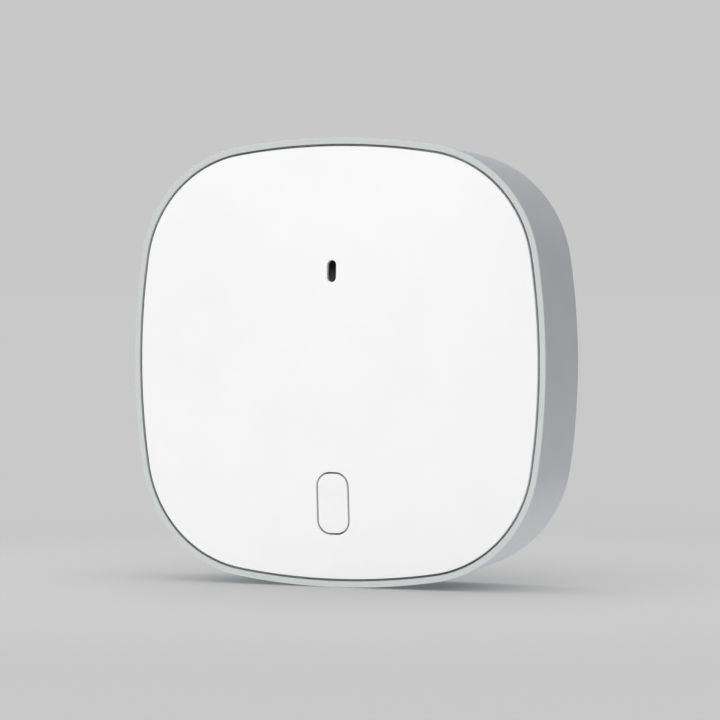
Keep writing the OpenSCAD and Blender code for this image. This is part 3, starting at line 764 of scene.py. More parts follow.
def end_tree(tree: bpy.types.NodeTree, given: bpy.types.Node, shape: bpy.types.NodeSocket) -> None:
    """End a tree in plain geometry with the finish that its Finish input names.

    Args:
        tree: Geometry node tree.
        given: Its input node.
        shape: Geometry that it ends in.
    """
    plain = add_node(tree, "GeometryNodeRealizeInstances", {"Geometry": shape})
    dressed = add_node(tree, "GeometryNodeSetMaterial",
                       {"Geometry": plain.outputs["Geometry"], "Material": given.outputs["Finish"]})
    add_node(tree, "NodeGroupOutput", {"Geometry": dressed.outputs["Geometry"]})


def run_tree(made: bpy.types.Object, tree: bpy.types.NodeTree, values: Mapping[str, object]) -> None:
    """Put a tree on an object, set its inputs and turn the result into a plain mesh.

    Args:
        made: Object that takes the result.
        tree: Geometry node tree.
        values: Name and value of each input.
    """
    change = made.modifiers.new(tree.name, "NODES")
    change.node_group = tree
    for item in tree.interface.items_tree:
        if item.in_out == "INPUT" and item.name in values:
            change[item.identifier] = values[item.name]
    flatten(made)


def crown_tree() -> bpy.types.NodeTree:
    """Make the tree that raises a flat face to its crown: crown*(1 - share*share), where lift is 1.

    Returns:
        The tree.
    """
    tree, given = node_tree("raise_crown", {"Crown": "NodeSocketFloat", "Finish": "NodeSocketMaterial"})
    share, lift = [add_node(tree, "GeometryNodeInputNamedAttribute", {"Name": name},
                            data_type="FLOAT").outputs[0] for name in ("share", "lift")]
    square = add_node(tree, "ShaderNodeMath", {0: share, 1: share}, operation="MULTIPLY").outputs["Value"]
    height = add_node(tree, "ShaderNodeMath", {0: 1.0, 1: square}, operation="SUBTRACT").outputs["Value"]
    for factor in (given.outputs["Crown"], lift, -1.0):
        height = add_node(tree, "ShaderNodeMath", {0: height, 1: factor},
                          operation="MULTIPLY").outputs["Value"]
    offset = add_node(tree, "ShaderNodeCombineXYZ", {"Y": height}).outputs["Vector"]
    moved = add_node(tree, "GeometryNodeSetPosition",
                     {"Geometry": given.outputs["Geometry"], "Offset": offset})
    end_tree(tree, given, moved.outputs["Geometry"])
    return tree


def repeat_tree() -> bpy.types.NodeTree:
    """Make the tree that sets one copy of a piece, turned, at each point of a mesh.

    Returns:
        The tree.
    """
    tree, given = node_tree(REPEAT_TREE, {"Piece": "NodeSocketObject", "Turn": "NodeSocketRotation",
                                          "Finish": "NodeSocketMaterial"})
    piece = add_node(tree, "GeometryNodeObjectInfo", {"Object": given.outputs["Piece"]})
    copies = add_node(tree, "GeometryNodeInstanceOnPoints", {
        "Points": given.outputs["Geometry"], "Instance": piece.outputs["Geometry"],
        "Rotation": given.outputs["Turn"]})
    end_tree(tree, given, copies.outputs["Instances"])
    return tree


def ring_tree() -> bpy.types.NodeTree:
    """Make the tree that sets copies of a piece in a ring round one at its middle, facing along Y.

    Returns:
        The tree.
    """
    tree, given = node_tree("ring_of_pieces", {
        "Piece": "NodeSocketObject", "Count": "NodeSocketInt", "Radius": "NodeSocketFloat",
        "Middle": "NodeSocketVector", "Finish": "NodeSocketMaterial"})
    piece = add_node(tree, "GeometryNodeObjectInfo", {"Object": given.outputs["Piece"]}).outputs["Geometry"]
    circle = add_node(tree, "GeometryNodeMeshCircle",
                      {"Vertices": given.outputs["Count"], "Radius": given.outputs["Radius"]})
    upright = add_node(tree, "GeometryNodeTransform",
                       {"Geometry": circle.outputs["Mesh"], "Rotation": (math.pi/2, 0.0, 0.0)})
    copies = add_node(tree, "GeometryNodeInstanceOnPoints",
                      {"Points": upright.outputs["Geometry"], "Instance": piece})
    both = add_node(tree, "GeometryNodeJoinGeometry")
    tree.links.new(copies.outputs["Instances"], both.inputs["Geometry"])
    tree.links.new(piece, both.inputs["Geometry"])
    placed = add_node(tree, "GeometryNodeTransform",
                      {"Geometry": both.outputs["Geometry"], "Translation": given.outputs["Middle"]})
    end_tree(tree, given, placed.outputs["Geometry"])
    return tree


def coil_tree() -> bpy.types.NodeTree:
    """Make the tree that winds a round wire up along Z and stands it on a straight foot.

    Returns:
        The tree.
    """
    tree, given = node_tree("wind_wire", {
        "Turns": "NodeSocketFloat", "Radius": "NodeSocketFloat", "Length": "NodeSocketFloat",
        "Wire": "NodeSocketFloat", "Foot": "NodeSocketFloat", "Middle": "NodeSocketVector",
        "Finish": "NodeSocketMaterial"})
    coil = add_node(tree, "GeometryNodeCurveSpiral", {
        "Resolution": COIL_STEPS, "Rotations": given.outputs["Turns"],
        "Start Radius": given.outputs["Radius"], "End Radius": given.outputs["Radius"],
        "Height": given.outputs["Length"], "Reverse": True})
    low = add_node(tree, "ShaderNodeCombineXYZ", {"X": given.outputs["Radius"], "Y": given.outputs["Foot"]})
    high = add_node(tree, "ShaderNodeCombineXYZ", {"X": given.outputs["Radius"]})
    foot = add_node(tree, "GeometryNodeCurvePrimitiveLine",
                    {"Start": low.outputs["Vector"], "End": high.outputs["Vector"]})
    both = add_node(tree, "GeometryNodeJoinGeometry")
    tree.links.new(foot.outputs["Curve"], both.inputs["Geometry"])
    tree.links.new(coil.outputs["Curve"], both.inputs["Geometry"])
    round_wire = add_node(tree, "GeometryNodeCurvePrimitiveCircle",
                          {"Resolution": WIRE_STEPS, "Radius": given.outputs["Wire"]})
    wire = add_node(tree, "GeometryNodeCurveToMesh", {
        "Curve": both.outputs["Geometry"], "Profile Curve": round_wire.outputs["Curve"], "Fill Caps": True})
    placed = add_node(tree, "GeometryNodeTransform",
                      {"Geometry": wire.outputs["Mesh"], "Translation": given.outputs["Middle"]})
    end_tree(tree, given, placed.outputs["Geometry"])
    return tree


# Hand-over of finished pieces


def hand_over(made: bpy.types.Object, finish: Finish, body: Body, slot: str, *nodes: str) -> None:
    """Dress a finished piece, set it on its body and hide the nodes that it replaces.

    Args:
        made: The piece.
        finish: Its material.
        body: Body that carries it.
        slot: Slot of the record that its finish belongs to; not used.
        nodes: Nodes that it replaces.
    """
    made.data.materials.clear()
    made.data.materials.append(finish.material())
    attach(made, body.value)
    if nodes:
        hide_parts(*nodes)
    LOG.info("%s on %s: %d faces", made.name, body.value, len(made.data.polygons))


def set_copies(name: str, piece: bpy.types.Object, places: Iterable[Vector], finish: Finish, slot: str,
               *nodes: str, turn: float = 0.0) -> None:
    """Set one copy of a piece at each place and hand them over as one piece of the housing.

    Args:
        name: Name of the finished piece.
        piece: What is repeated, drawn round the origin. It is removed.
        places: Places in the frame.
        finish: Material of the copies.
        slot: Slot of the record that the finish belongs to; not used.
        nodes: Nodes that the copies replace.
        turn: Turn of each copy about X, in radians.
    """
    points = bmesh.new()
    for place in places:
        points.verts.new(place)
    made = as_object(points, name)
    tree = bpy.data.node_groups.get(REPEAT_TREE) or repeat_tree()
    run_tree(made, tree, {"Piece": piece, "Turn": Euler((turn, 0.0, 0.0)), "Finish": finish.material()})
    bpy.data.objects.remove(piece)
    shade(made)
    hand_over(made, finish, Body.HOUSING, slot, *nodes)


# Sub-assemblies


@dataclass
class PowerInlet:
    """The flat inlet in the lower wall: a drawn shell and a tongue with contacts on both sides.

    Attributes:
        drawing: The drawing frame's place.
        sheet: Thickness of the shell's sheet.
        lip_steps: Steps round the shell's rolled lip.
        tongue_w: Width of the tongue.
        tongue_t: Thickness of the tongue.
        tongue_r: Radius of the tongue's corners.
        tongue_sink: How far the tongue ends inside the mouth.
        tongue_root: Length of the block that the tongue stands on.
        root_gap: Gap between that block and the shell.
        contact_count: Contacts on each side.
        contact_pitch: Distance between two contacts.
        contact_size: Width, thickness and length of a contact.
        contact_edge: Width of a contact's broken edges.
        contact_inset: How far the contacts end inside the tongue's end.
        width: Width of the shell, from its node.
        height: Height of the shell, from its node.
        level: Level of its middle.
        mouth: Height at which it opens.
        end: Height at which it ends.
    """

    drawing: Drawing
    sheet: float = 0.3
    lip_steps: int = 8
    tongue_w: float = 6.7
    tongue_t: float = 0.7
    tongue_r: float = 0.7/3
    tongue_sink: float = 0.8
    tongue_root: float = 1.6
    root_gap: float = 0.05
    contact_count: int = 12
    contact_pitch: float = 0.5
    contact_size: Triple = (0.24, 0.06, 3.6)
    contact_edge: float = 0.015
    contact_inset: float = 0.5
    width: float = field(init=False)
    height: float = field(init=False)
    level: float = field(init=False)
    mouth: float = field(init=False)
    end: float = field(init=False)

    def __post_init__(self) -> None:
        """Read the inlet's size and place from its node."""
        (left, mouth, back), (right, end, front) = self.drawing.box("socket_shell")
        self.width = right - left
        self.height = front - back
        self.level = (back + front)/2
        self.mouth = mouth
        self.end = end

    def build(self) -> None:
        """Make the shell, the tongue and its contacts."""
        self.shell()
        self.tongue()
        self.contacts()

    def upright(self, outline: Flat, y: float) -> Ring:
        """Give an outline, drawn for the front, at a height of the inlet and seen from below."""
        return [Vector((-q, y, self.level + p)) for p, q in outline]

    def inside(self, shrunk: float, y: float) -> Ring:
        """Give the shell's outline at a height, drawn in by a distance."""
        return self.upright(slot_points(self.height - 2*shrunk, self.width - 2*shrunk), y)

    def shell(self) -> None:
        """Draw the shell with a rolled lip at its mouth."""
        lip = self.sheet/2
        rings = [self.inside(0.0, self.end)]
        for a in spread(0, math.pi, self.lip_steps):
            rings.append(self.inside(lip*(1 - math.cos(a)), self.mouth + lip*(1 - math.sin(a))))
        rings.append(self.inside(self.sheet, self.end - self.sheet))
        shell = loft(rings, self.drawing, "socket_shell_drawn")
        shade(shell)
        hand_over(shell, TINNED_STEEL, Body.HOUSING, "tinned_sheet", "socket_shell")

    def tongue(self) -> None:
        """Make the block that fills the shell's end and the blade that stands on it."""
        root_end = self.end - self.sheet
        root_face = root_end - self.tongue_root
        shrunk = self.sheet + self.root_gap
        block = [self.inside(shrunk, y) for y in (root_end, root_face)]
        outline = box_points(self.tongue_t, self.tongue_w, self.tongue_r)
        blade = [self.upright(outline, y) for y in (root_face, self.mouth + self.tongue_sink)]
        tongue = join_objects([loft(block, self.drawing, "root"), loft(blade, self.drawing, "blade")],
                              "socket_tongue_blade")
        shade(tongue)
        hand_over(tongue, CONTACT_RESIN, Body.HOUSING, "contact_resin", "socket_tongue")

    def contacts(self) -> None:
        """Set the contact strips on both sides of the tongue."""
        _, thickness, length = self.contact_size
        strip = blocks([((0.0, 0.0, 0.0), self.contact_size)], self.contact_edge, "strip")
        half_row = (self.contact_count - 1)/2*self.contact_pitch
        height = self.mouth + self.tongue_sink + self.contact_inset + length/2
        places = [self.drawing.at(x, height, self.level + side*(self.tongue_t + thickness/2)/2)
                  for side in (-1, 1) for x in spread(-half_row, half_row, self.contact_count - 1)]
        set_copies("socket_contacts", strip, places, GOLD_FLASH, "contact_resin")


@dataclass
class RearCase:
    """The grey moulded tub: drafted wall, lip, rebate for the plate, posts, keyholes and sound ports.

    Attributes:
        outline: Outline of the body.
        drawing: The drawing frame's place.
        inlet: The power inlet, for which the lower wall opens.
        depth: Level of the lip.
        back_inset: How far the draft brings the wall in at the back.
        back_edge_r: Radius of the back edge.
        back_edge_steps: Steps round the back edge.
        lip_edge_r: Radius of the lip's outer edge.
        lip_edge_steps: Steps round the lip's outer edge.
        lip_inner_r: Radius of the lip's inner edge.
        lip_inner_steps: Steps round the lip's inner edge.
        lip_w: Width of the lip.
        wall: Thickness of the wall.
        back_wall: Thickness of the back.
        shelf: Level of the rebate on which the plate sits.
        post_inset: How far the posts stand inside the corners.
        post_r: Radius of a post.
        post_top: Level of a post's top.
        web_t: Thickness of a web.
        web_clear: How far the webs end behind the board.
        counterbore_r: Radius of the hole for a case screw's head.
        shank_hole_r: Radius of the hole for its shank.
        head_seat: Level on which its head sits.
        boss_r: Radius of a board boss.
        board_head_r: Radius of a board screw's head.
        pilot_r: Radius of a board screw's pilot hole.
        pilot_depth: Depth of that hole.
        keyhole_spacing: Distance between the keyholes.
        keyhole_y: Height of their entries.
        keyhole_head_r: Radius of an entry.
        keyhole_shank_r: Half the width of the slot above it.
        keyhole_run: Length of that slot.
        keyhole_depth: Depth of the pocket behind a keyhole.
        keyhole_steps: Steps round an entry.
        pocket_gap: How much wider than the entry a pocket is, on each side.
        pocket_wall: Thickness of a pocket's wall.
        sounder_y: Height of the sounder.
        well_r: Inner radius of the sounder's well.
        well_t: Thickness of the well's wall.
        well_h: Height of the well's wall.
        well_steps: Steps round the well.
        port_r: Radius of a sound port.
        port_ring_r: Radius of the ring of ports.
        port_count: Ports in the ring.
        port_rim_r: Radius of a port's rim.
        port_steps: Steps round a port.
        socket_gap: Gap round the inlet's shell.
        rim_r: Radius of the other holes' rims.
        lap: How far solids reach past each other where they are joined or cut.
    """

    outline: SoftSquare
    drawing: Drawing
    inlet: PowerInlet
    depth: float = 20.2
    back_inset: float = 1.2
    back_edge_r: float = 1.2
    back_edge_steps: int = 10
    lip_edge_r: float = 0.2
    lip_edge_steps: int = 8
    lip_inner_r: float = 0.06
    lip_inner_steps: int = 4
    lip_w: float = 1.1
    wall: float = 2.2
    back_wall: float = 2.0
    shelf: float = 18.3
    post_inset: float = 9.2
    post_r: float = 3.8
    post_top: float = 12.0
    web_t: float = 1.2
    web_clear: float = 1.2
    counterbore_r: float = 2.9
    shank_hole_r: float = 1.6
    head_seat: float = 5.0
    boss_r: float = 2.4
    board_head_r: float = 1.9
    pilot_r: float = 0.95
    pilot_depth: float = 3.9
    keyhole_spacing: float = 40.0
    keyhole_y: float = 10.0
    keyhole_head_r: float = 4.25
    keyhole_shank_r: float = 2.2
    keyhole_run: float = 7.0
    keyhole_depth: float = 3.8
    keyhole_steps: int = 48
    pocket_gap: float = 0.35
    pocket_wall: float = 1.2
    sounder_y: float = -6.0
    well_r: float = 12.3
    well_t: float = 1.0
    well_h: float = 2.6
    well_steps: int = 96
    port_r: float = 0.8
    port_ring_r: float = 3.6
    port_count: int = 6
    port_rim_r: float = 0.15
    port_steps: int = 24
    socket_gap: float = 0.25
    rim_r: float = 0.3
    lap: float = 0.5

    @property
    def posts(self) -> Flat:
        """Places of the four posts."""
        away = self.outline.corner_c + (self.outline.corner_r - self.post_inset)/math.sqrt(2)
        return [(x, y) for x in (-away, away) for y in (-away, away)]

    @property
    def board_bosses(self) -> Flat:
        """Places of the bosses that carry the board, from the box of its screws.

        Returns:
            The two lower ones and the upper one.
        """
        (_, lower, _), (right, upper, _) = self.drawing.box("board_screws")
        side, low = right - self.board_head_r, lower + self.board_head_r
        return [(side, low), (-side, low), (0.0, upper - self.board_head_r)]

    @property
    def keyholes(self) -> Flat:
        """Places of the keyholes' entries."""
        return [(-self.keyhole_spacing/2, self.keyhole_y), (self.keyhole_spacing/2, self.keyhole_y)]

    def lean(self, level: float) -> float:
        """Give how far the drafted wall stands inside the outline at a level."""
        return self.back_inset*(1 - level/self.depth)

    def bar(self, points: Flat, low: float, high: float, middle: Place) -> bpy.types.Object:
        """Make a straight bar of an outline between two levels."""
        return loft([ring(points, low, middle), ring(points, high, middle)], self.drawing, "bar")

    def tub(self) -> bpy.types.Object:
        """Make the wall, lip and back from rings of the outline, from the floor inside to the wall face.

        Returns:
            The tub, without posts and holes.
        """
        slope = math.atan(self.back_inset/self.depth)
        section = [(self.lean(self.back_wall) + self.wall, self.back_wall),
                   (self.lean(self.shelf) + self.wall, self.shelf), (self.lip_w, self.shelf)]
        for inset, drop in rounding(self.lip_inner_r, self.lip_inner_steps):
            section.append((self.lip_w - inset, self.depth - drop))
        for inset, drop in reversed(rounding(self.lip_edge_r, self.lip_edge_steps)):
            section.append((inset, self.depth - drop))
        back_x = self.lean(self.back_edge_r) + self.back_edge_r/math.cos(slope)
        for a in spread(-slope, -math.pi/2, self.back_edge_steps):
            section.append((back_x - self.back_edge_r*math.cos(a), self.back_edge_r*(1 + math.sin(a))))
        rings = [ring(self.outline.points(inset), level) for inset, level in section]
        return loft(rings, self.drawing, "rear_case_shell")

    def webs(self) -> bpy.types.Object:
        """Make the webs that tie the posts to the corners of the wall.

        Returns:
            The webs in one object.
        """
        start = self.back_wall - self.lap
        end = self.drawing.back("main_board") - self.web_clear
        solids = []
        for at in self.posts:
            out = Vector(at).normalized()
            reach, half = out*(self.post_inset - self.wall), out.orthogonal()*self.web_t/2
            corners = [tuple(p) for p in (-half, reach - half, reach + half, half)]
            solids.append(self.bar(corners, start, end, at))
        return join_objects(solids, "webs")

    def stands(self) -> bpy.types.Object:
        """Make the posts, board bosses, keyhole pockets and sounder well that rise from the back.

        Returns:
            What rises, in one object.
        """
        start = self.back_wall - self.lap
        board = self.drawing.back("main_board")
        pocket = self.run_points(self.keyhole_head_r + self.pocket_gap + self.pocket_wall)
        roof = self.back_wall + self.keyhole_depth + self.pocket_wall
        solids = [self.bar(disc_points(self.post_r), start, self.post_top, at) for at in self.posts]
        solids += [self.bar(disc_points(self.boss_r), start, board, at) for at in self.board_bosses]
        solids += [self.bar(pocket, start, roof, at) for at in self.keyholes]
        top = self.back_wall + self.well_h
        outer_r = self.well_r + self.well_t
        section = ((self.well_r, start), (self.well_r, top), (outer_r, top), (outer_r, start))
        rings = [ring(disc_points(radius, self.well_steps), level, (0.0, self.sounder_y))
                 for radius, level in section]
        solids.append(loft(rings, self.drawing, "well", closed=True))
        return join_objects(solids, "stands")

    def run_points(self, radius: float) -> Flat:
        """Give the outline of what slides from the entry to the end of the slot."""
        shift = self.keyhole_run/2
        return [(x, y + shift) for x, y in slot_points(2*radius, self.keyhole_run + 2*radius)]

    def keyhole_points(self, grown: float) -> Flat:
        """Give the keyhole's outline, a round entry with a slot above it.

        Args:
            grown: Distance by which the outline is grown.

        Returns:
            The points of the outline.
        """
        head, shank = self.keyhole_head_r + grown, self.keyhole_shank_r + grown
        meet = math.asin(shank/head)
        turn = spread(math.pi/2 + meet, math.tau + math.pi/2 - meet, self.keyhole_steps)
        entry = [(head*math.cos(a), head*math.sin(a)) for a in turn]
        end = [(shank*math.cos(a), self.keyhole_run + shank*math.sin(a))
               for a in spread(0, math.pi, self.keyhole_steps//2)]
        return entry + end

    def hole(self, shape: Shape, middle: Place, depth: float, radius: float) -> list[Ring]:
        """Give the rings of a hole in the wall face, which is a hole in a front face turned round."""
        rings = rim_rings(shape, middle, 0.0, depth, radius)
        return [[Vector((p.x, p.y, -p.z)) for p in points] for points in rings]

    def screw_hole(self, at: Place) -> bpy.types.Object:
        """Make what is cut for a case screw: a counterbore for its head and a hole for its shank.

        Args:
            at: Place of the post.

        Returns:
            The cutter.
        """
        head = self.hole(lambda grown: disc_points(self.counterbore_r + grown), at, self.head_seat,
                         self.rim_r)
        shank = disc_points(self.shank_hole_r)
        rings = [ring(shank, self.post_top + self.lap, at), ring(shank, self.head_seat, at)] + head
        return loft(rings, self.drawing, "screw_hole")

    def ports(self, depth: float) -> bpy.types.Object:
        """Make what is cut for the sound ports, one in the middle and a ring round it.

        Args:
            depth: How far the ports reach in from the wall face.

        Returns:
            The cutters in one object.
        """
        rings = self.hole(lambda grown: disc_points(self.port_r + grown, self.port_steps), MIDDLE, depth,
                          self.port_rim_r)
        port = loft(rings, Drawing(self.drawing.wall_y, 0.0), "port")
        ports = as_object(bmesh.new(), "ports")
        run_tree(ports, ring_tree(), {
            "Piece": port, "Count": self.port_count, "Radius": self.port_ring_r*MM,
            "Middle": (0.0, 0.0, self.drawing.at(0, self.sounder_y, 0).z), "Finish": CASE_ABS.material()})
        ports.data.materials.clear()
        bpy.data.objects.remove(port)
        return ports

    def inlet_opening(self) -> bpy.types.Object:
        """Make what is cut from the lower wall for the power inlet, with a rounded rim.

        Returns:
            The cutter.
        """
        inlet = self.inlet
        surface = self.outline.half - self.lean(inlet.level)

        def shape(grown: float) -> Flat:
            """Give the opening's outline, grown by a distance."""
            around = 2*(self.socket_gap + grown)
            return slot_points(inlet.height + around, inlet.width + around)

        rings = rim_rings(shape, MIDDLE, surface, self.wall + 2*self.lap, self.rim_r)
        turned = [[Vector((-p.y, -p.z, inlet.level + p.x)) for p in points] for points in rings]
        return loft(turned, self.drawing, "inlet")

    def cuts(self) -> bpy.types.Object:
        """Make what is cut: keyholes, screw holes, sound ports, pilot holes and the inlet's opening.

        Returns:
            The cutters in one object.
        """
        through = self.back_wall + self.lap
        board = self.drawing.back("main_board")
        solids = [loft(self.hole(self.keyhole_points, at, through, self.rim_r), self.drawing, "keyhole")
                  for at in self.keyholes]
        solids += [self.screw_hole(at) for at in self.posts]
        solids.append(self.ports(through))
        solids += [self.bar(disc_points(self.pilot_r), board - self.pilot_depth, board + self.lap, at)
                   for at in self.board_bosses]
        solids.append(self.inlet_opening())
        return join_objects(solids, "cuts")

    def build(self) -> None:
        """Make the case, cut it and hand it over."""
        case = self.tub()
        pocket = self.run_points(self.keyhole_head_r + self.pocket_gap)
        roof = self.back_wall + self.keyhole_depth
        pockets = [self.bar(pocket, self.back_wall, roof, at) for at in self.keyholes]
        cut_and_join(case, [(Step.JOIN, self.stands()), (Step.JOIN, self.webs()), (Step.CUT, self.cuts()),
                            (Step.CUT, join_objects(pockets, "pockets"))])
        shade(case)
        hand_over(case, CASE_ABS, Body.HOUSING, "case_plastic", "rear_case")


@dataclass
class CrownedFace:
    """What the plate, the button and the lens share: the crown of the front.

    Attributes:
        outline: Outline of the body.
        drawing: The drawing frame's place.
        depth: Level of the plate's edge.
        crown: How far the middle stands over the edge.
        edge_inset: How far the plate's edge lies inside the outline.
        edge_r: Radius of the plate's edge.
        tree: Tree that raises the crown.
    """

    outline: SoftSquare
    drawing: Drawing
    depth: float = 20.2
    crown: float = 1.9
    edge_inset: float = 1.5
    edge_r: float = 0.15
    tree: bpy.types.NodeTree = field(default_factory=crown_tree)

    def raise_crown(self, made: bpy.types.Object, finish: Finish,
                    lifted: Sequence[float] | None = None) -> None:
        """Raise a flat object to the crown of the front.

        Args:
            made: Object drawn as if the front were flat.
            finish: Material that the tree sets.
            lifted: One value for each point, or None where the crown lifts them all.
        """
        mesh = made.data
        shares = mesh.attributes.new("share", "FLOAT", "POINT")
        lifts = mesh.attributes.new("lift", "FLOAT", "POINT")
        for number, vertex in enumerate(mesh.vertices):
            x, y = vertex.co.x/MM, (vertex.co.z - self.drawing.middle_z)/MM
            shares.data[number].value = math.hypot(x, y)/self.outline.reach(x, y, self.edge_inset)
            lifts.data[number].value = 1.0 if lifted is None else lifted[number]
        run_tree(made, self.tree, {"Crown": self.crown*MM, "Finish": finish.material()})
        for name in ("share", "lift"):
            made.data.attributes.remove(made.data.attributes[name])
        made.data.materials.clear()

    def skin(self, rows: Sequence[tuple[Ring, float]], finish: Finish, name: str) -> bpy.types.Object:
        """Make a skin through rings drawn as if the front were flat, and raise it to the crown.

        Args:
            rows: Rings, each with 1 where the crown lifts it and 0 where it stays.
            finish: Material that the tree sets.
            name: Name of the new object.

        Returns:
            The new object.
        """
        made = loft([points for points, _ in rows], self.drawing, name)
        self.raise_crown(made, finish, [lift for points, lift in rows for _ in points])
        return made

    def cutter(self, shape: Shape, middle: Place, depth: float, radius: float) -> bpy.types.Object:
        """Make a cutter for a hole in the crowned front, with a rounded rim.

        Args:
            shape: Function that gives the hole's outline, grown by a distance.
            middle: Middle of the hole.
            depth: How far the cutter reaches behind the front.
            radius: Radius of the rim.

        Returns:
            The cutter.
        """
        made = loft(rim_rings(shape, middle, self.depth, depth, radius), self.drawing, "cutter")
        self.raise_crown(made, PLATE_ABS)
        return made


@dataclass
class FrontPlate:
    """The white domed plate with its skirt, screw bosses, light slot and the button's opening.

    Attributes:
        face: The crowned front.
        case: The case that the plate closes.
        thickness: Thickness of the plate at its edge.
        relief: How much thinner it is inside the skirt.
        skirt_h: Height of the skirt.
        skirt_t: Thickness of the skirt.
        skirt_gap: Gap between the skirt and the case's wall.
        boss_r: Radius of a screw boss.
        pilot_r: Radius of a boss's hole.
        pilot_end: Level at which that hole ends.
        slot_y: Height of the light slot.
        slot_w: Width of the light slot.
        slot_l: Length of the light slot.
        collar_w: Width of the collar round the slot.
        collar_drop: How far the collar ends behind the shelf.
        button_y: Height of the button.
        opening_w: Width of the button's opening.
        opening_l: Length of the button's opening.
        opening_r: Radius of the opening's corners.
        sleeve_t: Thickness of the sleeve round the button.
        sleeve_drop: How far the sleeve ends behind the shelf.
        rim_r: Radius of the rims of slot and opening.
        edge_steps: Steps round the plate's edge.
        dome_rings: Rings across the front.
        pole_share: Size of the innermost ring, as a share of the outermost.
        lap: How far cutters reach past what they cut.
    """

    face: CrownedFace
    case: RearCase
    thickness: float = 1.9
    relief: float = 0.1
    skirt_h: float = 2.6
    skirt_t: float = 1.2
    skirt_gap: float = 0.2
    boss_r: float = 3.0
    pilot_r: float = 1.25
    pilot_end: float = 17.0
    slot_y: float = 16.3
    slot_w: float = 1.7
    slot_l: float = 3.9
    collar_w: float = 1.4
    collar_drop: float = 0.3
    button_y: float = -25.0
    opening_w: float = 6.3
    opening_l: float = 11.2
    opening_r: float = 2.55
    sleeve_t: float = 1.4
    sleeve_drop: float = 0.9
    rim_r: float = 0.12
    edge_steps: int = 6
    dome_rings: int = 44
    pole_share: float = 0.02
    lap: float = 0.5

    @property
    def sleeve_end(self) -> float:
        """Level at which the button's sleeve ends."""
        return self.case.shelf - self.sleeve_drop

    @property
    def collar_end(self) -> float:
        """Level at which the light slot's collar ends."""
        return self.case.shelf - self.collar_drop

    def slot(self, grown: float) -> Flat:
        """Give the outline of the light slot, grown by a distance."""
        return slot_points(self.slot_w + 2*grown, self.slot_l + 2*grown)

    def opening(self, grown: float) -> Flat:
        """Give the outline of the button's opening, grown by a distance."""
        return box_points(self.opening_w + 2*grown, self.opening_l + 2*grown, self.opening_r + grown)

    def shell(self) -> bpy.types.Object:
        """Make the plate with its skirt, from the middle of its back to the middle of its front.

        Returns:
            The plate, without bosses and holes.
        """
        face, outline = self.face, self.face.outline
        shelf = self.case.shelf
        skirt_end = shelf - self.skirt_h
        skirt_out = self.case.lean(skirt_end) + self.case.wall + self.skirt_gap
        skirt, under = outline.points(skirt_out), outline.points(skirt_out + self.skirt_t)
        edge = outline.points(face.edge_inset)
        edge_half = outline.half - face.edge_inset
        back = face.depth - self.thickness + self.relief
        rows = [(ring(scaled(under, share), back), 1.0)
                for share in spread(self.pole_share, 1.0, self.dome_rings//2)]
        for points, level in ((under, skirt_end), (skirt, skirt_end), (skirt, shelf), (edge, shelf)):
            rows.append((ring(points, level), 0.0))
        for inset, drop in rounding(face.edge_r, self.edge_steps):
            rows.append((ring(scaled(edge, 1 - inset/edge_half), face.depth - drop), 1.0))
        for share in spread(1 - face.edge_r/edge_half, self.pole_share, self.dome_rings)[1:]:
            rows.append((ring(scaled(edge, share), face.depth), 1.0))
        return face.skin(rows, PLATE_ABS, "front_plate_shell")

    def stands(self) -> bpy.types.Object:
        """Make the screw bosses, the slot's collar and the button's sleeve behind the face.

        Returns:
            What stands behind the face, in one object.
        """
        bar, crest = self.case.bar, self.face.depth
        top = self.case.shelf + self.thickness/2
        solids = [bar(disc_points(self.boss_r), self.case.post_top, top, at) for at in self.case.posts]
        solids.append(bar(self.slot(self.collar_w), self.collar_end, crest, (0.0, self.slot_y)))
        solids.append(bar(self.opening(self.sleeve_t), self.sleeve_end, crest, (0.0, self.button_y)))
        return join_objects(solids, "stands")

    def cuts(self) -> bpy.types.Object:
        """Make what is cut from the plate: light slot, button opening and screw holes.

        Returns:
            The cutters in one object.
        """
        behind = self.thickness + self.face.crown + self.sleeve_drop + self.lap
        solids = [self.face.cutter(self.slot, (0.0, self.slot_y), behind, self.rim_r),
                  self.face.cutter(self.opening, (0.0, self.button_y), behind, self.rim_r)]
        low = self.case.post_top - self.lap
        solids += [self.case.bar(disc_points(self.pilot_r), low, self.pilot_end, at)
                   for at in self.case.posts]
        return join_objects(solids, "cuts")

    def build(self) -> None:
        """Make the plate, cut it and hand it over."""
        plate = self.shell()
        cut_and_join(plate, [(Step.JOIN, self.stands()), (Step.CUT, self.cuts())])
        shade(plate)
        hand_over(plate, PLATE_ABS, Body.HOUSING, "plate_plastic", "front_plate")


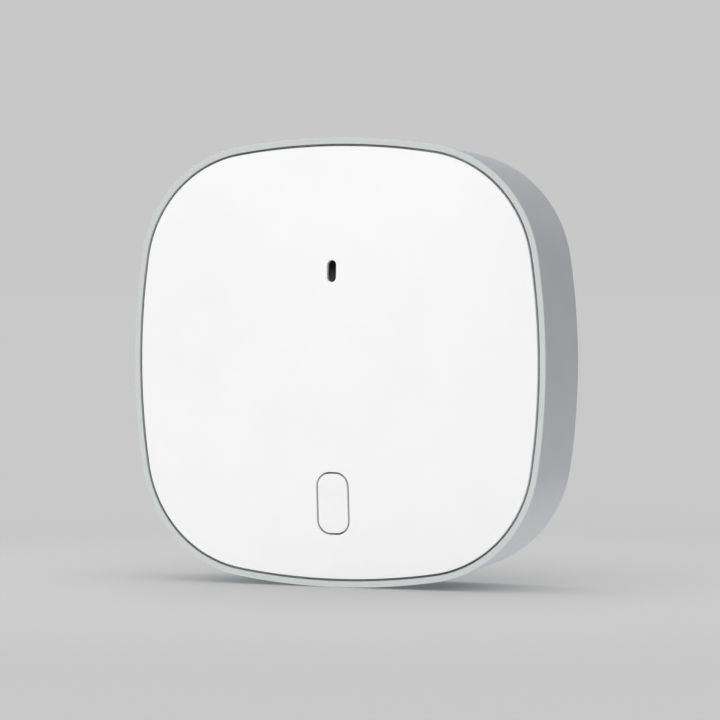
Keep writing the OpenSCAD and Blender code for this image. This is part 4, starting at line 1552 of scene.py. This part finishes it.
@dataclass
class PushButton:
    """The upright push button: a crowned face, a flange that keeps it in and a stem on the switch.

    Attributes:
        face: The crowned front.
        plate: The plate with the button's opening.
        gap: Gap between the button and its opening.
        flange: How far the flange stands out.
        flange_t: Thickness of the flange.
        flange_gap: Gap between the flange and the sleeve's end.
        stem_r: Radius of the stem.
        edge_r: Radius of the face's edge.
        edge_steps: Steps round the face's edge.
        cap_rings: Rings across the face.
        pole_share: Size of the innermost ring, as a share of the outermost.
    """

    face: CrownedFace
    plate: FrontPlate
    gap: float = 0.3
    flange: float = 0.9
    flange_t: float = 0.8
    flange_gap: float = 0.1
    stem_r: float = 1.5
    edge_r: float = 0.12
    edge_steps: int = 6
    cap_rings: int = 8
    pole_share: float = 0.06

    def shape(self, grown: float) -> Flat:
        """Give the outline of the button, grown by a distance."""
        return self.plate.opening(grown - self.gap)

    def build(self) -> None:
        """Make the button from its stem's end to its face and hand it over."""
        depth = self.face.depth
        at = (0.0, self.plate.button_y)
        stem = [tuple(Vector(p).normalized()*self.stem_r) for p in self.shape(0.0)]
        stem_end = self.face.drawing.back("button_cap")
        flange_front = self.plate.sleeve_end - self.flange_gap
        flange_back = flange_front - self.flange_t
        flange = self.shape(self.flange)
        section = ((stem, stem_end), (stem, flange_back), (flange, flange_back), (flange, flange_front),
                   (self.shape(0.0), flange_front))
        rows = [(ring(points, level, at), 0.0) for points, level in section]
        for inset, drop in rounding(self.edge_r, self.edge_steps):
            rows.append((ring(self.shape(-inset), depth - drop, at), 1.0))
        for share in spread(1.0, self.pole_share, self.cap_rings)[1:]:
            rows.append((ring(scaled(self.shape(-self.edge_r), share), depth, at), 1.0))
        cap = self.face.skin(rows, BUTTON_ABS, "button_cap_shell")
        shade(cap)
        hand_over(cap, BUTTON_ABS, Body.BUTTON, "button_plastic", "button_cap")


@dataclass
class LightPipe:
    """The smoked lens behind the light slot, with the flange that seats it.

    Attributes:
        face: The crowned front.
        plate: The plate with the slot.
        gap: Gap between the lens and the slot.
        flange_t: Thickness of the flange.
        edge_r: Radius of the front's edge.
        edge_steps: Steps round the front's edge.
        forward: How far the front stands before its solid's.
    """

    face: CrownedFace
    plate: FrontPlate
    gap: float = 0.1
    flange_t: float = 1.0
    edge_r: float = 0.15
    edge_steps: int = 5
    forward: float = 0.4

    def shape(self, grown: float) -> Flat:
        """Give the outline of the lens, grown by a distance."""
        return self.plate.slot(grown - self.gap)

    def build(self) -> None:
        """Make the lens from its end at the lamp to its front and hand it over."""
        drawing = self.face.drawing
        back, front = drawing.back("light_pipe"), drawing.front("light_pipe") + self.forward
        flange_front = self.plate.collar_end
        flange_back = flange_front - self.flange_t
        lens, flange = self.shape(0.0), self.shape(self.gap + self.plate.collar_w)
        section = [(lens, back), (lens, flange_back), (flange, flange_back), (flange, flange_front),
                   (lens, flange_front)]
        for inset, drop in rounding(self.edge_r, self.edge_steps):
            section.append((self.shape(-inset), front - drop))
        rings = [ring(points, level, (0.0, self.plate.slot_y)) for points, level in section]
        made = loft(rings, drawing, "light_pipe_lens")
        shade(made)
        hand_over(made, SMOKED_ACRYLIC, Body.HOUSING, "smoked_lens", "light_pipe")


@dataclass
class SnapDome:
    """The switch's snap dome, a thin round cap that flattens as the plunger comes down.

    Attributes:
        drawing: The drawing frame's place.
        sheet: Thickness of the sheet.
        kept: Share of the dome's height that is left when it is pressed; not used.
        rings: Rings from the pole to the rim.
        pole_share: Size of the innermost ring, as a share of the rim.
    """

    drawing: Drawing
    sheet: float = 0.12
    kept: float = 0.48
    rings: int = 10
    pole_share: float = 0.05

    def build(self) -> None:
        """Make the dome in its node's box and hand it over."""
        (left, lower, seat), (right, upper, crest) = self.drawing.box("switch_dome")
        middle = ((left + right)/2, (lower + upper)/2)
        rim_r = (right - left)/2
        rise = crest - seat - self.sheet
        ball_r = (rim_r**2 + rise**2)/(2*rise)

        def cap(radius: float, share: float) -> Ring:
            """Give a ring of a ball round the dome's centre, at a share of the rim's radius."""
            over = math.sqrt(radius**2 - (share*rim_r)**2) - ball_r
            return ring(disc_points(share*rim_r), seat + rise + over, middle)

        shares = spread(self.pole_share, 1.0, self.rings)
        rings = [cap(ball_r, share) for share in shares]
        rings += [cap(ball_r + self.sheet, share) for share in reversed(shares)]
        dome = loft(rings, self.drawing, "switch_dome_cap")
        shade(dome)
        hand_over(dome, SPRING_STEEL, Body.HOUSING, "spring_steel", "switch_dome")
        anchor = tuple(self.drawing.at(*middle, seat))
        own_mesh(dome)


@dataclass
class Screw:
    """A screw with a round head, a cross recess and a cut thread, its shank along +Z from the seat at 0.

    Attributes:
        shank_r: Radius over the thread.
        length: Length of the shank.
        head_r: Radius of the head.
        head_h: Height of the head.
        head_round: Rounded share of the head's radius.
        head_steps: Steps round the head's edge.
        recess_w: Width of the recess's arms.
        recess_d: Depth of the recess.
        recess_rim: Width of the head round the recess.
        pitch: Pitch of the thread.
        thread_d: Depth of the thread.
        ridge_share: Half the width of the thread's ridge, as a share of the pitch.
        tip_share: Size of the tip, as a share of the shank.
        steps: Steps round the screw.
        rings_per_turn: Rings for each turn of the thread.
    """

    shank_r: float
    length: float
    head_r: float
    head_h: float
    head_round: float = 0.45
    head_steps: int = 6
    recess_w: float = 0.6
    recess_d: float = 0.8
    recess_rim: float = 0.9
    pitch: float = 0.9
    thread_d: float = 0.18
    ridge_share: float = 0.3
    tip_share: float = 0.25
    steps: int = 32
    rings_per_turn: int = 8

    def build(self) -> bpy.types.Object:
        """Make the screw from its tip to its head and cut the recess.

        Returns:
            The screw, at the origin.
        """
        rings = []
        for z in spread(self.length, 0.0, round(self.length/self.pitch*self.rings_per_turn)):
            taper = min(1.0, (self.length - z)/(2*self.pitch) + self.tip_share)
            rings.append([self._thread_point(k, z, taper) for k in range(self.steps)])
        rings.append(ring(disc_points(self.head_r, self.steps), 0.0))
        for inset, drop in rounding(self.head_r*self.head_round, self.head_steps):
            rings.append(ring(disc_points(self.head_r - inset, self.steps), drop/2 - self.head_h))
        made = loft(rings, PLAIN, "screw")
        size = Vector((2*(self.head_r - self.recess_rim), 2*self.recess_d, self.recess_w))
        arms = []
        for turn in (0.0, math.pi/2):
            arm = bmesh.new()
            bmesh.ops.create_cube(arm, size=1.0)
            bmesh.ops.scale(arm, vec=size*MM, verts=arm.verts)
            bmesh.ops.rotate(arm, matrix=Euler((0.0, turn, 0.0)).to_matrix(), verts=arm.verts)
            bmesh.ops.translate(arm, vec=PLAIN.at(0, 0, -self.head_h), verts=arm.verts)
            arms.append((Step.CUT, as_object(arm, "arm")))
        cut_and_join(made, arms)
        return made

    def _thread_point(self, step: int, z: float, taper: float) -> Vector:
        """Give a point of the thread: a blunt ridge that climbs one pitch in a turn.

        Args:
            step: Number of the point round the screw.
            z: Distance from the seat.
            taper: Share of the full radius.

        Returns:
            The point.
        """
        angle = math.tau*step/self.steps
        phase = (z/self.pitch - step/self.steps) % 1.0
        ridge = max(0.0, 1 - abs(phase - 1/2)/self.ridge_share)
        radius = taper*(self.shank_r - self.thread_d*(1 - ridge))
        return Vector((radius*math.cos(angle), radius*math.sin(angle), z))


@dataclass
class Fasteners:
    """The four case screws, driven from the back, and the three board screws, driven from the front.

    Attributes:
        case: The case that takes the screws.
        drawing: The drawing frame's place.
        case_screw: One screw of the case.
        board_screw: One screw of the board.
    """

    case: RearCase
    drawing: Drawing
    case_screw: Screw = field(default_factory=lambda: Screw(
        shank_r=1.2, length=11.0, head_r=2.6, head_h=1.8))
    board_screw: Screw = field(default_factory=lambda: Screw(
        shank_r=0.9, length=5.0, head_r=1.9, head_h=1.2, recess_w=0.5, recess_d=0.55, recess_rim=0.7,
        pitch=0.7, thread_d=0.14))

    def build(self) -> None:
        """Set a screw at each place and hand both sets over."""
        at, board = self.drawing.at, self.drawing.front("main_board")
        places = [at(x, y, self.case.head_seat) for x, y in self.case.posts]
        set_copies("case_screw_set", self.case_screw.build(), places, ZINC_STEEL, "screw_steel",
                   "case_screws")
        places = [at(x, y, board) for x, y in self.case.board_bosses]
        set_copies("board_screw_set", self.board_screw.build(), places, ZINC_STEEL, "screw_steel",
                   "board_screws", turn=math.pi)


@dataclass
class BoardParts:
    """What repeats or winds on the board: the antenna, the can capacitors and the chip capacitors.

    Attributes:
        drawing: The drawing frame's place.
        antenna_turns: Turns of the antenna.
        antenna_r: Radius at the middle of its wire.
        wire_r: Radius of its wire.
        antenna_lift: Gap between the coil and the board.
        chip_size: Length, width and height of a chip capacitor.
        chip_rows: Place of the first chip capacitor of each row.
        chip_pitch: Distance between two in a row.
        chip_count: Capacitors in a row.
        end_cap: Length of a plated end.
        end_proud: How far an end stands over the body.
        can_places: Places of the can capacitors.
        can_r: Radius of a can.
        can_h: Height of a can.
        can_edge_r: Radius of its top edge.
        can_edge_steps: Steps round its top edge.
        can_groove: Radius of the groove over its base.
        can_groove_steps: Steps round the groove.
        can_base: Width of its base.
        can_base_h: Height of its base.
        broken_edge: Width of the broken edges of bodies, ends and bases.
    """

    drawing: Drawing
    antenna_turns: float = 9.0
    antenna_r: float = 2.6
    wire_r: float = 0.4
    antenna_lift: float = 0.6
    chip_size: Triple = (1.6, 0.8, 0.8)
    chip_rows: tuple[Place, ...] = ((4.0, -10.0), (-21.0, -7.5), (4.0, 9.0))
    chip_pitch: float = 2.2
    chip_count: int = 5
    end_cap: float = 0.35
    end_proud: float = 0.015
    can_places: tuple[Place, ...] = ((10.0, -15.0), (17.5, -15.0))
    can_r: float = 3.15
    can_h: float = 5.4
    can_edge_r: float = 0.45
    can_edge_steps: int = 6
    can_groove: float = 0.2
    can_groove_steps: int = 8
    can_base: float = 6.6
    can_base_h: float = 1.0
    broken_edge: float = 0.05

    @property
    def board(self) -> float:
        """Level of the board's front."""
        return self.drawing.front("main_board")

    def build(self) -> None:
        """Make the antenna and the capacitors."""
        self.antenna()
        self.capacitors()
        self.cans()

    def antenna(self) -> None:
        """Wind the antenna and hand it over."""
        (left, lower, _), (right, upper, _) = self.drawing.box("opener_antenna")
        centre = self.antenna_r + self.wire_r + self.antenna_lift
        middle = self.drawing.at((left + right)/2, lower + self.wire_r, self.board + centre)
        made = as_object(bmesh.new(), "opener_antenna_coil")
        run_tree(made, coil_tree(), {
            "Turns": self.antenna_turns, "Radius": self.antenna_r*MM,
            "Length": (upper - lower - 2*self.wire_r)*MM, "Wire": self.wire_r*MM, "Foot": centre*MM,
            "Middle": middle, "Finish": COPPER_WIRE.material()})
        shade(made, WIRE_HARD_EDGE)
        hand_over(made, COPPER_WIRE, Body.HOUSING, "copper_wire", "opener_antenna")

    def capacitors(self) -> None:
        """Set the chip capacitors' bodies and their plated ends along the rows."""
        length, width, height = self.chip_size
        proud = 2*self.end_proud
        core = (length - 2*self.end_cap, height - proud, width - proud)
        body = blocks([((0.0, 0.0, 0.0), core)], self.broken_edge, "body")
        shift = (length - self.end_cap)/2
        ends = blocks([((x, 0.0, 0.0), (self.end_cap, height, width)) for x in (-shift, shift)],
                      self.broken_edge, "ends")
        places = [self.drawing.at(x + i*self.chip_pitch, y, self.board + height/2)
                  for x, y in self.chip_rows for i in range(self.chip_count)]
        set_copies("chip_capacitor_bodies", body, places, CERAMIC, "ceramic_block", "chip_capacitors")
        set_copies("chip_capacitor_ends", ends, places, TINNED_STEEL, "tinned_sheet")

    def cans(self) -> None:
        """Set the drawn cans and their black bases."""
        neck = self.can_base_h + self.can_groove
        section = [(self.can_r, self.can_base_h)]
        for a in spread(-math.pi/2, math.pi/2, self.can_groove_steps):
            section.append((self.can_r - self.can_groove*math.cos(a), neck + self.can_groove*math.sin(a)))
        for inset, drop in rounding(self.can_edge_r, self.can_edge_steps):
            section.append((self.can_r - inset, self.can_h - drop))
        can = loft([ring(disc_points(radius), level) for radius, level in section], PLAIN, "can")
        size = (self.can_base, self.can_base_h, self.can_base)
        base = blocks([((0.0, 0.0, 0.0), size)], self.broken_edge, "base")
        places = [self.drawing.at(x, y, self.board) for x, y in self.can_places]
        set_copies("bulk_capacitor_cans", can, places, CAN_ALUMINIUM, "capacitor_can", "bulk_capacitors")
        places = [self.drawing.at(x, y, self.board + self.can_base_h/2) for x, y in self.can_places]
        set_copies("bulk_capacitor_bases", base, places, SWITCH_NYLON, "switch_resin")


# Studio


@dataclass(frozen=True)
class PhotoCamera:
    """A camera at the photograph's viewing angle.

    Attributes:
        place_mm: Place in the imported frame, in millimetres.
        turn: Turn about Z from looking along +Y, in degrees.
        tilt: Tilt below the horizon, in degrees.
        roll: Roll about the line of sight, in degrees.
        focal_px: Focal length in pixels of the frame.
        frame_px: Width of the frame in pixels.
        sensor_mm: Width of the sensor.
        clip_m: Nearest and furthest distance that it sees, in metres.
    """

    place_mm: Triple = (263.19, -599.35, 57.03)
    turn: float = 23.640
    tilt: float = 1.467
    roll: float = 0.052
    focal_px: float = 3635.1
    frame_px: int = 720
    sensor_mm: float = 36.0
    clip_m: Span = (0.02, 60.0)

    def build(self) -> None:
        """Make the camera and look through it."""
        data = bpy.data.cameras.new("photo_camera")
        data.sensor_width = self.sensor_mm
        data.lens = self.focal_px*self.sensor_mm/self.frame_px
        data.clip_start, data.clip_end = self.clip_m
        camera = bpy.data.objects.new("photo_camera", data)
        camera.location = Vector(self.place_mm)*MM
        angles = (CAMERA_LEVEL - self.tilt, self.roll, self.turn)
        camera.rotation_euler = Euler([math.radians(angle) for angle in angles])
        bpy.context.scene.collection.objects.link(camera)
        bpy.context.scene.camera = camera


class Lit(Enum):
    """What a lamp lights, said by what its list of receivers does with the floor."""

    OBJECT = "EXCLUDE"
    FLOOR = "INCLUDE"


@dataclass(frozen=True)
class Lamp:
    """A broad soft light far away, flagged off the floor or kept to it.

    Attributes:
        name: Name of the lamp.
        lit: What it lights.
        stands: Direction in which it stands.
        strength: Its strength.
        width: Its width in the sky, in degrees.
    """

    name: str
    lit: Lit
    stands: Triple
    strength: float
    width: float

    def build(self, floor: bpy.types.Object) -> None:
        """Hang the lamp.

        Args:
            floor: The floor, which it leaves out or lights alone.
        """
        light = bpy.data.lights.new(self.name, "SUN")
        light.energy = self.strength
        light.angle = math.radians(self.width)
        lamp = bpy.data.objects.new(self.name, light)
        lamp.rotation_euler = Vector(self.stands).to_track_quat("Z", "Y").to_euler()
        bpy.context.scene.collection.objects.link(lamp)
        receivers = bpy.data.collections.new(f"{self.name}_receivers")
        receivers.objects.link(floor)
        receivers.collection_objects[0].light_linking.link_state = self.lit.value
        lamp.light_linking.receiver_collection = receivers


@dataclass(frozen=True)
class Studio:
    """A plain grey studio: an even surround, a pale floor, and lights in front, overhead and on the floor.

    Attributes:
        surround: Colour of the surround as it is seen.
        floor: Colour of the floor's paint.
        pool: Paler colour of the floor near the part, a painted pool of light.
        pool_reach: Distances from the part between which the one tone goes over to the other, in metres.
        bounce: Light that the floor throws back on the object, as a pale sweep all round it would.
        floor_size: Width of the floor, in metres.
        lamps: The lights.
    """

    surround: str = "#C8C8C8"
    floor: str = "#AAAAAA"
    pool: str = "#B1B1B1"
    pool_reach: Span = (0.05, 0.15)
    bounce: float = 0.48
    floor_size: float = 12.0
    lamps: tuple[Lamp, ...] = (Lamp("front_light", Lit.OBJECT, (-0.32, -0.95, 0.30), 1.45, 30.0),
                               Lamp("top_light", Lit.OBJECT, (-0.05, -0.05, 1.0), 2.2, 20.0),
                               Lamp("floor_light", Lit.FLOOR, (-0.3, -0.1, 1.0), 4.72, 170.0))

    def build(self) -> None:
        """Make the surround, the lights and the floor."""
        scene = bpy.context.scene
        scene.view_settings.view_transform = "Standard"
        world = bpy.data.worlds.new("grey_surround")
        world.use_nodes = True
        tree = world.node_tree
        tree.nodes.clear()
        light = add_node(tree, "ShaderNodeBackground",
                         {"Color": linear(self.surround), "Strength": self._seen(tree)})
        add_node(tree, "ShaderNodeOutputWorld", {"Surface": light.outputs["Background"]})
        scene.world = world
        floor = self._floor()
        for lamp in self.lamps:
            lamp.build(floor)

    @staticmethod
    def _seen(tree: bpy.types.NodeTree) -> bpy.types.NodeSocket:
        """Tell the rays that the camera sees, straight, mirrored or through something, from the others.

        Args:
            tree: Tree of the surround or of a material.

        Returns:
            Socket with 1 for those rays and 0 for the others.
        """
        path = add_node(tree, "ShaderNodeLightPath").outputs
        seen = path["Is Camera Ray"]
        for kind in ("Is Glossy Ray", "Is Transmission Ray"):
            seen = add_node(tree, "ShaderNodeMath", {0: seen, 1: path[kind]},
                            operation="MAXIMUM").outputs["Value"]
        return seen

    def _floor(self) -> bpy.types.Object:
        """Lay the floor under the part.

        Returns:
            The floor.
        """
        bm = bmesh.new()
        bmesh.ops.create_grid(bm, x_segments=1, y_segments=1, size=self.floor_size/2)
        floor = as_object(bm, "floor")
        material = bpy.data.materials.new("floor_matte_paint")
        material.use_nodes = True
        tree = material.node_tree
        tree.nodes.clear()
        # The floor's paint is paler near the part: a painted pool of light.
        near, far = self.pool_reach
        place = add_node(tree, "ShaderNodeTexCoord").outputs["Object"]
        away = add_node(tree, "ShaderNodeVectorMath", {0: place}, operation="LENGTH").outputs["Value"]
        share = add_node(tree, "ShaderNodeMapRange", {"Value": away, "From Min": near, "From Max": far},
                         interpolation_type="SMOOTHSTEP")
        paint_with_light_pool = add_node(tree, "ShaderNodeValToRGB", {"Fac": share.outputs["Result"]})
        for end, colour in zip(paint_with_light_pool.color_ramp.elements, (self.pool, self.floor)):
            end.color = linear(colour)
        paint = add_node(tree, "ShaderNodeBsdfDiffuse", {"Color": paint_with_light_pool.outputs["Color"]})
        level = add_node(tree, "ShaderNodeMapRange",
                         {"Value": self._seen(tree), "To Min": self.bounce, "To Max": 0.0})
        glow = add_node(tree, "ShaderNodeEmission", {"Strength": level.outputs["Result"]})
        both = add_node(tree, "ShaderNodeAddShader", {0: paint.outputs["BSDF"], 1: glow.outputs["Emission"]})
        add_node(tree, "ShaderNodeOutputMaterial", {"Surface": both.outputs["Shader"]})
        floor.data.materials.append(material)
        return floor


def dress_nodes() -> None:
    """Give the nodes whose own solids show their finishes."""
    for name, finish in NODE_FINISHES.items():
        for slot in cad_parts[name].material_slots:
            slot.material = finish.material()
        LOG.info("%s keeps its solid: %s", name, finish.name)


def main() -> None:
    """Build the studio and every sub-assembly in order."""
    logging.basicConfig(level=logging.INFO, format="%(name)s: %(message)s")
    PhotoCamera().build()
    Studio().build()
    outline = SoftSquare()
    low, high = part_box("rear_case")
    drawing = Drawing(high.y, low.z + outline.half*MM)
    inlet = PowerInlet(drawing)
    case = RearCase(outline, drawing, inlet)
    face = CrownedFace(outline, drawing)
    plate = FrontPlate(face, case)
    for assembly in (case, plate, PushButton(face, plate), LightPipe(face, plate), SnapDome(drawing), inlet,
                     Fasteners(case, drawing), BoardParts(drawing)):
        assembly.build()
    dress_nodes()


if __name__ == "__main__":
    main()
